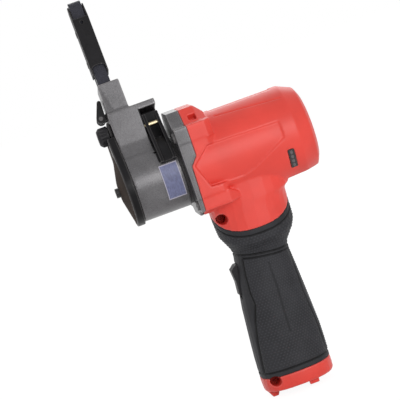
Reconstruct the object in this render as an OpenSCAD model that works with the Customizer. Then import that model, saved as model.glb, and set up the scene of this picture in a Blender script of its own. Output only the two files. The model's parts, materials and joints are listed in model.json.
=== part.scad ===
// Cordless power file: pistol body, geared motor, turning head and a slim belt arm.
// Millimetres, +Z up, head towards -X. Origin: middle of the handle's bottom rim.

/* [Overall] */
// Height of the drive axis above the handle's bottom rim
axis_h = 167; // [164:0.5:170]
// Height from the grips' top to the drive axis
neck_rise = 38.5; // [37:0.5:42]
// Angle that the head leans back from upright
head_turn = 15; // [-45:1:45]

/* [Handle] */
// Front and rear wall of the foot together, beside the socket
foot_wall_d = 21; // [19:0.5:24]
// Both side walls of the foot together, beside the socket
foot_wall_w = 16; // [15:0.5:20]
// Height of the plain foot below the grips
foot_h = 10; // [9:0.5:12]
// Thickness of the soft grips
grip_t = 2; // [1.6:0.1:2.2]

/* [Battery socket] */
// Depth of the socket, front to back
socket_d = 30; // [27:0.5:32]
// Width of the socket
socket_w = 32; // [29:0.5:34]
// Height of the socket above the rim
socket_h = 58; // [50:0.5:60]
// Corner radius of the socket
socket_r = 10; // [8:0.5:12]

/* [Motor body] */
// Outer radius of the motor barrel
barrel_r = 33; // [32:0.5:35]
// Wall of the motor barrel
barrel_wall = 3.2; // [2.4:0.1:3.6]
// Front face of the housing, ahead of the handle's middle
housing_front = 20.2; // [19.6:0.2:21]
// Rear face of the barrel, behind the handle's middle
barrel_rear = 63.6; // [62:0.2:66]

/* [Gears] */
// Module of the planetary gears
gear_module = 0.8; // [0.76:0.01:0.82]
// Width of the gears
gear_w = 8; // [6.5:0.5:8.5]

/* [Head] */
// Outer radius of the drum
drum_r = 25; // [24.6:0.2:26]
// Length of the drum along the drive axis
drum_len = 34.5; // [34:0.5:37]
// Height of the post's top above the drive axis
post_h = 74; // [72:0.5:79]
// Half depth of the tower, front to back
tower_half = 13.5; // [13:0.25:15]

/* [Belt and arm] */
// Width of the abrasive belt
belt_w = 8.8; // [8:0.2:9]
// Thickness of the abrasive belt
belt_t = 0.9; // [0.6:0.1:1.1]
// Radius of the drive wheel over its tyre
wheel_r = 12.5; // [11.5:0.25:13]
// Radius of the nose roller
roller_r = 5.5; // [5:0.25:6]
// Distance from the drive axis to the nose roller
arm_reach = 132; // [128:0.5:145]
// Width of the arm channel
arm_w = 11.8; // [11.6:0.1:13]
// Wall of the arm channel
arm_wall = 1.1; // [0.9:0.1:1.1]
// How far the arm slides in for a belt change
arm_travel = 7; // [5:0.5:7]

/* [Trigger] */
// Height of the trigger's middle above the rim
trigger_z = 80; // [78:0.5:81]
// Height of the trigger
trigger_h = 24; // [21:0.5:25]
// Width of the trigger
trigger_w = 12; // [10:0.5:13]
// Travel of the trigger
trigger_travel = 6; // [4:0.5:6]

/* [Hidden] */
$fn = 64;

// Cuts run past the faces by this much
over = 1;
// Slip of a part that seats in another one
seat_clear = 0.05;
// Running clearance of a shaft in its bore, on the radius
run_clear = 0.04;
// Gap between pieces that pass each other
gap = 0.35;

// Handle rows: height, front reach, rear reach, half width, dip at the sides
grip_rows_shares = [
    [0.000, 0.516, 0.490, 0.500, 0.000],
    [0.114, 0.503, 0.502, 0.490, 0.000],
    [0.203, 0.486, 0.506, 0.480, 0.000],
    [0.422, 0.437, 0.482, 0.448, 0.000],
    [0.573, 0.382, 0.463, 0.425, 0.000],
    [0.679, 0.330, 0.446, 0.412, 0.000],
    [0.735, 0.308, 0.458, 0.416, 0.006],
    [0.782, 0.308, 0.535, 0.452, 0.021],
    [0.829, 0.356, 0.602, 0.508, 0.046],
    [0.881, 0.408, 0.644, 0.554, 0.080],
    [1.000, 0.430, 0.656, 0.574, 0.119]
];
// Neck rows above the grips: height share of the neck, the same columns, share of the last dip
neck_rows_shares = [
    [0.00, 0.430, 0.656, 0.574, 1.00],
    [0.16, 0.428, 0.663, 0.575, 0.60],
    [0.21, 0.427, 0.680, 0.575, 0.45],
    [0.24, 0.426, 0.705, 0.575, 0.36],
    [0.27, 0.425, 0.755, 0.575, 0.28],
    [1.00, 0.415, 0.755, 0.560, 0.00]
];
// Foot rows below the grips: height share of the foot, then the same columns
foot_rows_shares = [
    [0.00, 0.508, 0.462, 0.478],
    [0.14, 0.516, 0.484, 0.494],
    [0.55, 0.520, 0.490, 0.502],
    [1.00, 0.516, 0.490, 0.500]
];
// Squareness of the handle's section and steps along half of it
handle_power = 2.5;
handle_steps = 14;
neck_top_share = 0.9;
foot_d = socket_d + foot_wall_d;
foot_w = socket_w + foot_wall_w;
grip_top = axis_h - neck_rise;
grip_h = grip_top - foot_h;
neck_h = neck_rise * neck_top_share;

// Battery socket and the cavities above it
socket_x0 = -socket_d / 2;
cavity_step_d = 4.5;
cavity_step_w = 9;
cavity_front_share = 0.4;
cavity_top_share = 0.5;
deck_t = 2.5;
cavity_d = socket_d - cavity_step_d;
cavity_w = socket_w - cavity_step_w;
cavity_x0 = -cavity_d * cavity_front_share;
front_claw = [10, 7, 5];
front_claw_gap = 0.6;
front_claw_chamfer = 3;
side_claw = [7, 2.8, 3.2];
side_claw_x = 3.5;
side_claw_gap = 0.5;

// Barrel
front_x = -housing_front;
barrel_taper_len = 13.3;
barrel_taper = 4.4;
barrel_edge_len = 2.4;
barrel_end_drop = 9.4;
barrel_flat_in = 3;
barrel_flat_rise = 2.6;
barrel_flat_x = 26;
barrel_taper_x = barrel_rear - barrel_taper_len;
barrel_edge_x = barrel_rear - barrel_edge_len;
barrel_edge_r = barrel_r - barrel_taper;
barrel_end_r = barrel_r - barrel_end_drop;
band_w = 0.8;
band_depth = 0.5;
bore_r = barrel_r - barrel_wall;
rear_wall = 4.5;
bore_end = barrel_rear - rear_wall;
bore_round = 3;
rear_bore_step = 3.2;
rear_bore_r = bore_r - rear_bore_step;
cavity_top = axis_h - bore_r * cavity_top_share;

// Front collar of the housing, which the gearcase follows
collar_len = 10.6;
collar_slope_len = 6;
collar_slope_share = 0.84;
collar_top_rise = 8;
collar_side_rise = 0.5;
collar_bottom_rise = 0.3;
collar_flat_share = 0.42;
collar_shoulder_share = 0.67;
collar_low_share = 0.6;
collar_low_flat_share = 0.42;
collar_top = barrel_r + collar_top_rise;
collar_flat = barrel_r * collar_flat_share;
collar_side = barrel_r + collar_side_rise;
collar_shoulder = barrel_r * collar_shoulder_share;
collar_low = barrel_r * collar_low_share;
collar_low_flat = barrel_r * collar_low_flat_share;
collar_bottom = barrel_r + collar_bottom_rise;
lip_len = 6.6;
lip_tip = 5;
lip_top = 9;
lip_mid = 3;
boss_r = 6.2;
boss_low_r = 5.2;
boss_corner_r = 1.4;
boss_in_y = 5.5;
boss_in_up = 8.5;
boss_in_low = 8.8;
boss_y = barrel_r - boss_in_y;
boss_z_up = barrel_r - boss_in_up;
boss_z_low = barrel_r - boss_in_low;
boss_len = 12.5;
boss_slant = 4.6;
boss_slant_share = 0.6;
fairing_ahead = 13;
fairing_len = 10.5;
fairing_tip_share = 0.15;
fairing_tip_in = 4;
fairing_tip_drop = 4;
screw_r = 2;
screw_head_r = 3.4;
screw_head_h = 3.2;
screw_sink = 1.6;
screw_len = 22;
socket_key_r = 1.5;
socket_key_depth = 1.8;

// Housing screws: x, z and floor of each pocket
neck_screw_x = -16.5;
neck_screw_drop = 1.5;
neck_pocket_y = 3;
foot_screw_x = -18.6;
foot_screw_z = 7.5;
foot_pocket_y = 6;
house_screws = [
    [neck_screw_x, grip_top - neck_screw_drop, neck_pocket_y], [foot_screw_x, foot_screw_z, foot_pocket_y]
];
pocket_r = 3.7;
house_screw_r = 1.7;
house_head_r = 2.5;
house_head_h = 2.4;
house_screw_reach = 14;

// Top pocket and side panel of the housing
top_pocket = 5.5;
top_pocket_in = 7.2;
top_pocket_x = front_x + top_pocket_in;
top_pocket_depth = 5.5;
top_pocket_share = 0.36;
panel_depth = 0.9;
panel_ahead = 3.4;
panel_len = 65;
panel_low = 16.5;
panel_h = 30;
panel_x0 = front_x - panel_ahead;
// Corners of the side panel, in shares of its length and height
panel_shares = [
    [0, 0.64], [0.2, 1], [1, 0.95], [1, 0.55], [0.6, 0.12], [0.46, 0.03], [0.1, 0.07]
];
top_panel_x0 = 1;
top_panel_len = 45;
top_panel_half = 8;

// Vents in the rear face
vent_count = 5;
vent_w = 3;
vent_r0 = 12;
vent_r1 = 22;
vent_spread = 150;

// Gearcase
case_len = 9.2;
case_x0 = front_x - case_len;
spigot_len = 9;
spigot_r = bore_r - seat_clear;
washer_t = 2;
washer_gap = 0.1;
drum_x1 = case_x0 - washer_t - washer_gap;
drum_x0 = drum_x1 - drum_len;
neck_r = 19.4;
neck_len = 16.4;
neck_x0 = case_x0 - neck_len;
washer_inset = 1;
washer_r = drum_r - washer_inset;

// Bearings: radius, bore radius and width
spindle_r = 5;
sb_r = 9.5;
sb_w = 6;
sb_inset = 0.4;
mb_r = 6.5;
mb_w = 5;
shaft_r = 2.5;
race_share = 0.33;
shield_sink = 0.4;

// Planetary stage
sun_teeth = 12;
planet_teeth = 15;
ring_teeth = sun_teeth + 2 * planet_teeth;
planet_count = 3;
pressure_angle = 25;
addendum_share = 0.9;
dedendum_share = 1.2;
backlash = 0.07;
flank_steps = 4;
carrier_r = gear_module * (sun_teeth + planet_teeth) / 2;
carrier_t = 3;
carrier_rim = 3.7;
planet_pin_r = 1.8;
pinion_shaft_r = 2;
gear_gap = 0.6;
gear_inset = 5.6;
gear_x0 = case_x0 + gear_inset;
ring_wall = 3.4;
ring_r = gear_module * (ring_teeth / 2 + dedendum_share) + ring_wall;
carrier_x0 = gear_x0 - gear_gap - carrier_t;
case_floor_x = carrier_x0 - gear_gap;

// Motor
plate_gap = 0.2;
plate_x = front_x + spigot_len + plate_gap;
plate_t = 5;
stator_x0 = 2;
stator_len = 26;
stator_r = 24;
stator_yoke = 4;
slot_count = 6;
tooth_w = 5;
tooth_tip_r = 12.3;
tooth_shoe_h = 1.6;
tooth_shoe_w = 9;
coil_t = 2;
coil_r0 = 14.2;
coil_r1 = 19.2;
coil_over = 3;
rotor_r = 11.6;
magnet_count = 4;
magnet_w = 8;
magnet_t = 2;
magnet_depth = 3.2;
fan_gap = 6;
fan_x0 = stator_x0 + stator_len + fan_gap;
fan_t = 1.6;
fan_len = 7;
fan_r = 21.5;
fan_hub_r = 6;
fan_blades = 11;
fan_blade_t = 1.2;
fan_blade_r0 = 8;
rib_w = 4;
rib_inset = 3;
rear_bearing_x = 43;
rear_boss_r = 9;
shaft_free = 0.6;
shaft_tail = 1.5;

// Electrics
stem_free = 3.5;
trigger_back = 8;
term_h = 6.5;
cavity_floor = socket_h + term_h + deck_t;
switch_x0 = trigger_travel - trigger_back + stem_free;
switch_d = cavity_x0 + cavity_d - switch_x0 - seat_clear;
switch_w = 18;
switch_over = 16;
stem_r = 2.4;
stem_reach = 4;
board_d = 24;
board_w = cavity_w - 2 * seat_clear;
board_t = 1.6;
board_z = (trigger_z + switch_over + axis_h - bore_r) / 2;
chip_d = 6.4;
chip_shares = [0.3, 0.7];
chip_w = 9;
chip_h = 2.2;
contact_w = 1.2;
contact_d = 7;
contact_h = 9;
contact_pitch = 9;
contact_count = 3;
gauge_x = 42.4;
gauge_w = 4.6;
gauge_angle = -29;
gauge_span = 26;
gauge_t = 1.4;
gauge_proud = 0.3;

// Trigger
trigger_front = 21.4;
trigger_lip = 3;
trigger_dish = 0.8;
trigger_nose = 3.6;

// Head
belt_inset = 6.5;
belt_x = drum_x0 + belt_inset;
wheel_room_r = 21.5;
wheel_room = 16;
web_t = 4;
collar_x0 = drum_x0 + wheel_room + web_t;
block_w = 22;
block_x1 = drum_x0 + block_w;
block_h = 52.5;
roof_t = 4.6;
post_left = 0.8;
post_w = 15.5;
post_ramp_drop = 2.5;
post_ramp_z = block_h - post_ramp_drop;
post_ramp = 5;
back_wall_y = 4.5;
slit_w = 1.4;
post_set = 0.8;
post_bevel_w = 5;
post_bevel_d = 1.4;
post_bevel_tip_share = 0.1;
blend_r = 20;
blend_sink = 0.15;

// Drive wheel
tyre_t = 2;
hub_r = wheel_r - tyre_t;
wheel_w = 11;
spindle_end = 1.4;
wheel_bolt_r = 2.5;
wheel_bolt_len = 8;
stud_r = 3.4;
stud_out = 12.6;
flange_r = 7;
flange_t = 1.4;

// Side cover
cover_gap = 0.2;
cover_rim_t = 5.8;
cover_rim = 1.7;
cover_r = drum_r + cover_rim;
cover_top = 36;
cover_top_half = 12;
cover_dome = 3.8;
cover_dome_inset = 1.8;
cover_flat_r = 7;
cover_hole_r = 4.3;
cover_spigot = 2.2;
cover_tab_t = 2.3;
cover_tab_half = 8.5;
cover_tab_rim = 0.4;
cover_hollow = 2;

// Tracking knob
knob_z = 40.4;
knob_r = 7;
knob_len = 8;
cover_tab_top = knob_z + knob_r + cover_tab_rim;
knob_round = 2;
knob_shaft_r = 2.9;
knob_flutes = 14;
knob_flute_r = 0.7;

// Lock lever beside the post
lock_out = 4.2;
lock_x = drum_x0 - lock_out;
lock_pin_r = 1.5;
lock_hub_r = 3.3;
lock_clear = 1.3;
lock_z = cover_tab_top + lock_hub_r + lock_clear;
lock_w = 10;
lock_len = 11.5;
lock_tip_r = 1.5;
lock_lean = 12;
lock_fork = 6;
ear_t = 4;
ear_r = 2.8;

// Clamp lever on the drum
clamp_y = -11;
clamp_z = 36;
clamp_hub_r = 4.2;
clamp_pin_r = 1.6;
clamp_w = 11.4;
clamp_t = 4;
clamp_gap = 0.6;
clamp_low_angle = 10;
clamp_high_angle = 62;
clamp_slot = 6.6;
clamp_recess = 1.4;
clamp_slot_z = 29;
clamp_tail = 7.6;
clamp_pin_grip = 5;
arc_steps = 10;

// Foil plate on the drum
foil_ahead = 0.4;
foil_x0 = collar_x0 - foil_ahead;
foil_len = 12.8;
foil_t = 0.5;
foil_low_angle = -50;
foil_span = 58;

// Arm
bar_half_w = 4.2;
bar_half_t = 3.5;
bar_bottom = 44;
bar_short = 1.6;
bar_top = arm_reach - roller_r - bar_short;
bore_floor = 27;
spring_r = 2.9;
spring_wire_r = 0.5;
spring_turns = 6;
spring_rings = 8;
spring_sides = 6;
channel_clear = 1;
channel_arch = 4;
channel_arch_share = 0.45;
channel_web_short = 8;
channel_bottom = post_h + arm_travel + channel_clear;
channel_web_bottom = channel_bottom + channel_arch;
channel_web_top = arm_reach - channel_web_short;
channel_end = 3.2;
channel_back = 4.2;
channel_front = 11.3;
channel_hole_r = 1.2;
channel_hole_drop = 11.6;
channel_hole_z = arm_reach - channel_hole_drop;
rivet_r = 1.4;
rivet_head_r = 2.3;
rivet_head_t = 0.4;
rivet_z_shares = [0.24, 0.78];
axle_r = 1.5;
roller_gap = 0.3;
roller_crown = 0.25;
belt_slot_out = 1.5;
belt_slot_in = 0.6;
loop_steps = 24;

// Tangent angle of the belt's straight runs
run_angle = asin((wheel_r - roller_r) / arm_reach);
belt_free = 0.1;

// Helpers: frames and round stock along an axis
module at_axis() {
    translate([0, 0, axis_h]) children();
}

module in_head() {
    at_axis() rotate([-head_turn, 0, 0]) children();
}

module rod_x(x0, len, r) {
    translate([x0, 0, 0]) rotate([0, 90, 0]) cylinder(h = len, r = r);
}

module cone_x(x0, len, r0, r1) {
    translate([x0, 0, 0]) rotate([0, 90, 0]) cylinder(h = len, r1 = r0, r2 = r1);
}

module tube_x(x0, len, r_out, r_in) {
    difference() {
        rod_x(x0, len, r_out);
        rod_x(x0 - over, len + 2 * over, r_in);
    }
}

module rod_y(y0, len, r) {
    translate([0, y0, 0]) rotate([-90, 0, 0]) cylinder(h = len, r = r);
}

// A flat outline in (y, z), stretched along x
module plate_x(x0, len) {
    translate([x0, 0, 0]) rotate([90, 0, 90]) linear_extrude(len) children();
}

// A flat outline in (x, z), stretched along y about the middle plane
module plate_y(len) {
    rotate([90, 0, 0]) linear_extrude(len, center = true) children();
}

// A profile in (radius, x), turned about the x axis over an angle that starts at +Z's far side
module turned_x(angle = 360) {
    rotate([0, 90, 0]) rotate_extrude(angle = angle) children();
}

module rounded_box(size, r) {
    translate([r, 0]) square([size[0] - 2 * r, size[1]]);
    translate([0, r]) square([size[0], size[1] - 2 * r]);
    for (x = [r, size[0] - r], y = [r, size[1] - r])
        translate([x, y]) circle(r);
}

function polar(r, a) = [r * cos(a), r * sin(a)];
function arc(r, a0, a1, steps) = [for (i = [0:steps]) polar(r, a0 + (a1 - a0) * i / steps)];

// Loft helpers: a half section runs from the front, round +Y, to the rear
function bent(v) = sign(v) * pow(abs(v), 2 / handle_power);
function half_ring(z, front, rear, half, dip, inset) = [
    for (i = [0:handle_steps])
        let (t = 180 * i / handle_steps)
        [
            (rear - front) / 2 - ((rear + front) / 2 - inset) * bent(cos(t)),
            i == 0 || i == handle_steps ? 0 : (half - inset) * bent(sin(t)),
            z - dip * sin(t)
        ]
];
function grip_row(row, inset) = half_ring(foot_h + row[0] * grip_h, row[1] * foot_d,
    row[2] * foot_d, row[3] * foot_w, row[4] * grip_h, inset);
function foot_row(row) = half_ring(row[0] * foot_h, row[1] * foot_d, row[2] * foot_d,
    row[3] * foot_w, 0, 0);
function neck_row(row) = half_ring(grip_top + row[0] * neck_h, row[1] * foot_d,
    row[2] * foot_d, row[3] * foot_w, row[4] * last_dip, 0);
last_dip = grip_rows_shares[len(grip_rows_shares) - 1][4] * grip_h;

function fan_of(p) = [for (k = [1:len(p) - 2]) [p[0], p[k], p[k + 1]]];

// A half loft, closed flat on the middle plane, with a ledge after row a and after row b
module half_loft(rings, a, b) {
    n = len(rings[0]);
    m = len(rings);
    points = [for (ring = rings) each ring];
    sides = [
        for (i = [0:m - 2], j = [0:n - 2])
            let (p = i * n + j)
            each [[p, p + 1, p + 1 + n], [p, p + 1 + n, p + n]]
    ];
    middle = [
        for (i = [0:m - 2])
            let (f = i * n, g = f + n, r = g - 1, t = g + n - 1)
            if (i != a && i != b)
                each i + 1 == a ? fan_of([f, g, g + n, t + n, t, r])
                    : i - 1 == b ? fan_of([g, t, r, r - n, f - n, f])
                    : fan_of([f, g, t, r])
    ];
    bottom = [[for (j = [n - 1:-1:0]) j]];
    top = [[for (j = [0:n - 1]) (m - 1) * n + j]];
    polyhedron(points, concat(sides, middle, bottom, top));
}

// A half loft with a matching hollow, open on the middle plane
module half_skin(outer, inner) {
    n = len(outer[0]);
    m = len(outer);
    k = n * m;
    points = concat([for (ring = outer) each ring], [for (ring = inner) each ring]);
    walls = [
        for (i = [0:m - 2], j = [0:n - 2])
            let (a = i * n + j, b = a + 1, c = b + n, d = a + n)
            each [[a, b, c], [a, c, d], [k + a, k + c, k + b], [k + a, k + d, k + c]]
    ];
    edges = [
        for (i = [0:m - 2])
            let (a = i * n, b = a + n, c = a + n - 1, d = b + n - 1)
            each [[a, b, k + b], [a, k + b, k + a], [k + c, k + d, d], [k + c, d, c]]
    ];
    ends = [
        for (j = [0:n - 2])
            let (a = j, b = j + 1, c = (m - 1) * n + j, d = c + 1)
            each [[a, k + a, k + b], [a, k + b, b], [c, d, k + d], [c, k + d, k + c]]
    ];
    polyhedron(points, concat(walls, edges, ends));
}

module handle_core() {
    half_loft(concat(
        [for (row = foot_rows_shares) foot_row(row)],
        [for (row = grip_rows_shares) grip_row(row, grip_t)],
        [for (row = neck_rows_shares) neck_row(row)]
    ), len(foot_rows_shares) - 1, len(foot_rows_shares) + len(grip_rows_shares) - 1);
}

module grip_half() {
    difference() {
        half_skin(
            [for (row = grip_rows_shares) grip_row(row, 0)],
            [for (row = grip_rows_shares) grip_row(row, grip_t - seat_clear)]
        );
        trigger_window();
    }
}

module trigger_window() {
    half = trigger_w / 2 + gap;
    tall = trigger_h + 2 * gap;
    translate([-foot_d, -half, trigger_z - tall / 2]) cube([foot_d, 2 * half, tall]);
}

// Outline of the front collar, in (y, z)
module collar_outline() {
    polygon([
        [-collar_flat, collar_top], [collar_flat, collar_top],
        [collar_side, collar_shoulder], [collar_side, -collar_low],
        [collar_low_flat, -collar_bottom], [-collar_low_flat, -collar_bottom],
        [-collar_side, -collar_low], [-collar_side, collar_shoulder]
    ]);
}

// Gearcase bosses: y, z and half width
boss_places = [
    [boss_y, boss_z_up, boss_r], [-boss_y, boss_z_up, boss_r],
    [boss_y, -boss_z_low, boss_low_r], [-boss_y, -boss_z_low, boss_low_r]
];

// Outline of one gearcase boss, in (y, z)
module boss_outline(r) {
    translate([-r, -r]) rounded_box([2 * r, 2 * r], boss_corner_r);
}

// Front flange of the motor: collar and four bosses, in (y, z)
module flange_outline() {
    collar_outline();
    for (p = boss_places) translate([p[0], p[1]]) boss_outline(p[2]);
}

// The lower half of the housing reaches further forward, behind a slanted edge
module lip_zone(slip) {
    reach = collar_bottom + boss_r;
    plate_y(4 * collar_side) polygon([
        [front_x + over, lip_top + slip], [front_x, lip_top + slip],
        [front_x - lip_tip - slip, lip_mid + slip], [front_x - lip_len - slip, -reach],
        [front_x + over, -reach]
    ]);
}

module barrel_solid() {
    difference() {
        turned_x() polygon([
            [0, front_x], [barrel_r, front_x], [barrel_r, barrel_taper_x],
            [barrel_r - band_depth, barrel_taper_x], [barrel_r - band_depth, barrel_taper_x + band_w],
            [barrel_r, barrel_taper_x + band_w], [barrel_edge_r, barrel_edge_x],
            [barrel_end_r, barrel_rear], [0, barrel_rear]
        ]);
        plate_y(2 * barrel_r) polygon([
            [barrel_flat_x, -barrel_r - over], [barrel_rear + over, -barrel_r - over],
            [barrel_rear + over, barrel_flat_in + barrel_flat_rise - barrel_r],
            [barrel_flat_x, barrel_flat_in - barrel_r]
        ]);
    }
}

// Bosses behind the flange: blocks with a slanted end above, long fairings below
module boss_runs() {
    for (p = boss_places) {
        inner = p[0] - sign(p[0]) * p[2];
        if (p[1] > 0) {
            plate_x(front_x, boss_len) translate([p[0], p[1]]) boss_outline(p[2]);
            translate([front_x + boss_len, inner, p[1]]) rotate([90, 0, 90])
                linear_extrude(boss_slant, scale = [boss_slant_share, 1], slices = 1)
                    translate([p[0] - inner, 0]) boss_outline(p[2]);
        } else {
            tip = [p[0] - sign(p[0]) * fairing_tip_in, p[1] - fairing_tip_drop];
            plate_x(front_x, fairing_ahead) translate([p[0], p[1]]) boss_outline(p[2]);
            translate([front_x + fairing_ahead, tip[0], tip[1]]) rotate([90, 0, 90])
                linear_extrude(fairing_len, scale = fairing_tip_share)
                    translate([p[0] - tip[0], p[1] - tip[1]]) boss_outline(p[2]);
        }
    }
}

module motor_room() {
    rib_a = stator_x0 + rib_inset;
    rib_b = stator_x0 + stator_len - rib_inset - rib_w;
    rib_r = stator_r + seat_clear;
    seat_x = rear_bearing_x + mb_w + seat_clear;
    turned_x() polygon([
        [0, front_x - lip_len - over], [bore_r, front_x - lip_len - over], [bore_r, rib_a], [rib_r, rib_a],
        [rib_r, rib_a + rib_w], [bore_r, rib_a + rib_w], [bore_r, rib_b], [rib_r, rib_b],
        [rib_r, rib_b + rib_w], [bore_r, rib_b + rib_w], [bore_r, fan_x0 - fan_t],
        [rear_bore_r, fan_x0 - fan_t], [rear_bore_r, barrel_taper_x], [rear_bore_r - bore_round, bore_end],
        [rear_boss_r, bore_end], [rear_boss_r, rear_bearing_x],
        [mb_r + seat_clear, rear_bearing_x], [mb_r + seat_clear, seat_x],
        [shaft_r + shaft_free, seat_x], [shaft_r + shaft_free, seat_x + shaft_tail],
        [0, seat_x + shaft_tail]
    ]);
}

module rear_vents() {
    for (i = [0:vent_count - 1])
        rotate([-90 + vent_spread / 2 - vent_spread * i / (vent_count - 1), 0, 0])
            translate([bore_end - over, -vent_w / 2, vent_r0])
                cube([barrel_rear - bore_end + 2 * over, vent_w, vent_r1 - vent_r0]);
}

module housing_half() {
    difference() {
        union() {
            difference() {
                handle_core();
                at_axis() case_block(0);
            }
            rim_claws();
            intersection() {
                at_axis() union() {
                    barrel_solid();
                    plate_x(front_x, collar_len) collar_outline();
                    translate([front_x + collar_len, 0, 0]) rotate([90, 0, 90])
                        linear_extrude(collar_slope_len, scale = collar_slope_share) collar_outline();
                    boss_runs();
                    intersection() {
                        plate_x(case_x0, case_len + over) flange_outline();
                        lip_zone(0);
                    }
                }
                translate([-axis_h, 0, 0]) cube([2 * axis_h, axis_h, 2 * axis_h]);
            }
        }
        at_axis() motor_room();
        at_axis() rear_vents();
        translate([socket_x0, -socket_w / 2, -over])
            linear_extrude(socket_h + term_h + over) rounded_box([socket_d, socket_w], socket_r);
        translate([cavity_x0, -cavity_w / 2, cavity_floor])
            cube([cavity_d, cavity_w, cavity_top - cavity_floor]);
        trigger_window();
        for (p = boss_places) at_axis() translate([0, p[0], p[1]])
            rod_x(case_x0, screw_len, screw_r + seat_clear);
        for (p = house_screws) translate([p[0], 0, p[1]])
            rod_y(-over, house_screw_reach + 2 * over, house_screw_r + seat_clear);
        at_axis() translate([top_pocket_x, 0, 0]) top_pocket_cut();
        at_axis() side_panel_cut();
        translate([top_panel_x0, -top_panel_half, axis_h + barrel_r - panel_depth])
            cube([top_panel_len, 2 * top_panel_half, barrel_r]);
    }
}

// Square pocket in the slanted shoulder of the collar
module top_pocket_cut() {
    slope = atan2(collar_side - collar_flat, collar_top - collar_shoulder);
    mid_y = collar_flat + (collar_side - collar_flat) * top_pocket_share;
    mid_z = collar_top - (collar_top - collar_shoulder) * top_pocket_share;
    translate([0, mid_y, mid_z]) rotate([slope - 90, 0, 0])
        translate([-top_pocket / 2, -top_pocket / 2, -top_pocket_depth])
            cube([top_pocket, top_pocket, top_pocket_depth + over]);
}

// Plain sunk panel on the side of the barrel
module side_panel_cut() {
    difference() {
        rotate([-90, 0, 0]) linear_extrude(barrel_r + collar_side) polygon([
            for (p = panel_shares) [panel_x0 + p[0] * panel_len, panel_low - p[1] * panel_h]
        ]);
        rod_x(case_x0, barrel_rear - case_x0, barrel_r - panel_depth);
    }
}

// Claws below the rim that guide the battery
module rim_claws() {
    translate([socket_x0 - front_claw_gap - front_claw[0], 0, 0]) rotate([-90, 0, 0])
        linear_extrude(front_claw[1]) polygon([
        [0, -over], [front_claw[0], -over], [front_claw[0] - front_claw_chamfer, front_claw[2]],
        [front_claw_chamfer, front_claw[2]]
    ]);
    translate([side_claw_x, socket_w / 2 + side_claw_gap, -side_claw[2]])
        cube([side_claw[0], side_claw[1], side_claw[2] + over]);
}

module left_housing() {
    color("firebrick") housing_half();
}

module right_housing() {
    color("firebrick") difference() {
        mirror([0, 1, 0]) housing_half();
        screw_pockets();
        at_axis() gauge_body(seat_clear);
    }
}

module left_grip() {
    color("dimgray") grip_half();
}

module right_grip() {
    color("dimgray") difference() {
        mirror([0, 1, 0]) grip_half();
        screw_pockets();
    }
}

module screw_pockets() {
    for (p = house_screws) translate([p[0], 0, p[1]]) rod_y(-foot_w, foot_w - p[2], pocket_r);
}

module housing_screws() {
    color("black") for (p = house_screws) translate([p[0], 0, p[1]]) difference() {
        union() {
            rod_y(-p[2] - house_head_h, house_head_h, house_head_r);
            rod_y(-p[2], p[2] + house_screw_reach, house_screw_r);
        }
        rod_y(-p[2] - house_head_h - over, socket_key_depth + over, socket_key_r, $fn = 6);
    }
}

// Gearcase, gears and motor
module case_block(slip) {
    difference() {
        plate_x(case_x0, case_len) flange_outline();
        lip_zone(slip);
    }
}

module gearcase() {
    color("gray") at_axis() difference() {
        union() {
            case_block(seat_clear);
            rod_x(case_x0, case_len + spigot_len, spigot_r);
            rod_x(neck_x0, neck_len + over, neck_r);
        }
        rod_x(neck_x0 - over, case_floor_x - neck_x0 + 2 * over, sb_r + seat_clear);
        rod_x(case_floor_x, front_x + spigot_len - case_floor_x + over, ring_r + seat_clear);
        for (p = boss_places) translate([0, p[0], p[1]]) {
            rod_x(case_x0 - over, case_len + 2 * over, screw_r + seat_clear);
            rod_x(case_x0 - over, screw_sink + over, screw_head_r + seat_clear);
        }
    }
}

module gearcase_screws() {
    head_x = case_x0 + screw_sink - screw_head_h;
    color("black") at_axis() for (p = boss_places) translate([0, p[0], p[1]]) difference() {
        union() {
            rod_x(head_x, screw_head_h, screw_head_r);
            rod_x(case_x0 + screw_sink, screw_len - screw_sink - over, screw_r);
        }
        rod_x(head_x - over, socket_key_depth + over, socket_key_r, $fn = 6);
    }
}

module swivel_washer() {
    color("black") at_axis() tube_x(case_x0 - washer_t, washer_t, washer_r, neck_r + seat_clear);
}

function involute(a) = tan(a) * 180 / PI - a;
function half_tooth(teeth, r, thin) =
    let (pitch = gear_module * teeth / 2, base = pitch * cos(pressure_angle))
    90 / teeth + involute(pressure_angle) - involute(acos(min(1, base / r)))
        - thin / pitch * 180 / PI;
function tooth(teeth, tip, root, thin, at) =
    let (base = gear_module * teeth / 2 * cos(pressure_angle), low = max(base, root))
    concat(
        [polar(root, at - half_tooth(teeth, low, thin))],
        [for (i = [0:flank_steps])
            let (r = low + (tip - low) * i / flank_steps) polar(r, at - half_tooth(teeth, r, thin))],
        [for (i = [flank_steps:-1:0])
            let (r = low + (tip - low) * i / flank_steps) polar(r, at + half_tooth(teeth, r, thin))],
        [polar(root, at + half_tooth(teeth, low, thin))]
    );
function distinct(points) = [
    for (i = [0:len(points) - 1])
        if (norm(points[i] - points[(i + 1) % len(points)]) > backlash / 100) points[i]
];
function gear_outline(teeth, tip, root, thin) = distinct([
    for (k = [0:teeth - 1]) each tooth(teeth, tip, root, thin, 360 * k / teeth)
]);

module spur(teeth) {
    pitch = gear_module * teeth / 2;
    polygon(gear_outline(teeth, pitch + addendum_share * gear_module,
        pitch - dedendum_share * gear_module, backlash / 2));
}

module ring_gear() {
    pitch = gear_module * ring_teeth / 2;
    color("silver") at_axis() plate_x(gear_x0, gear_w) difference() {
        circle(ring_r);
        polygon(gear_outline(ring_teeth, pitch + dedendum_share * gear_module,
            pitch - addendum_share * gear_module, -backlash / 2));
    }
}

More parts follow.
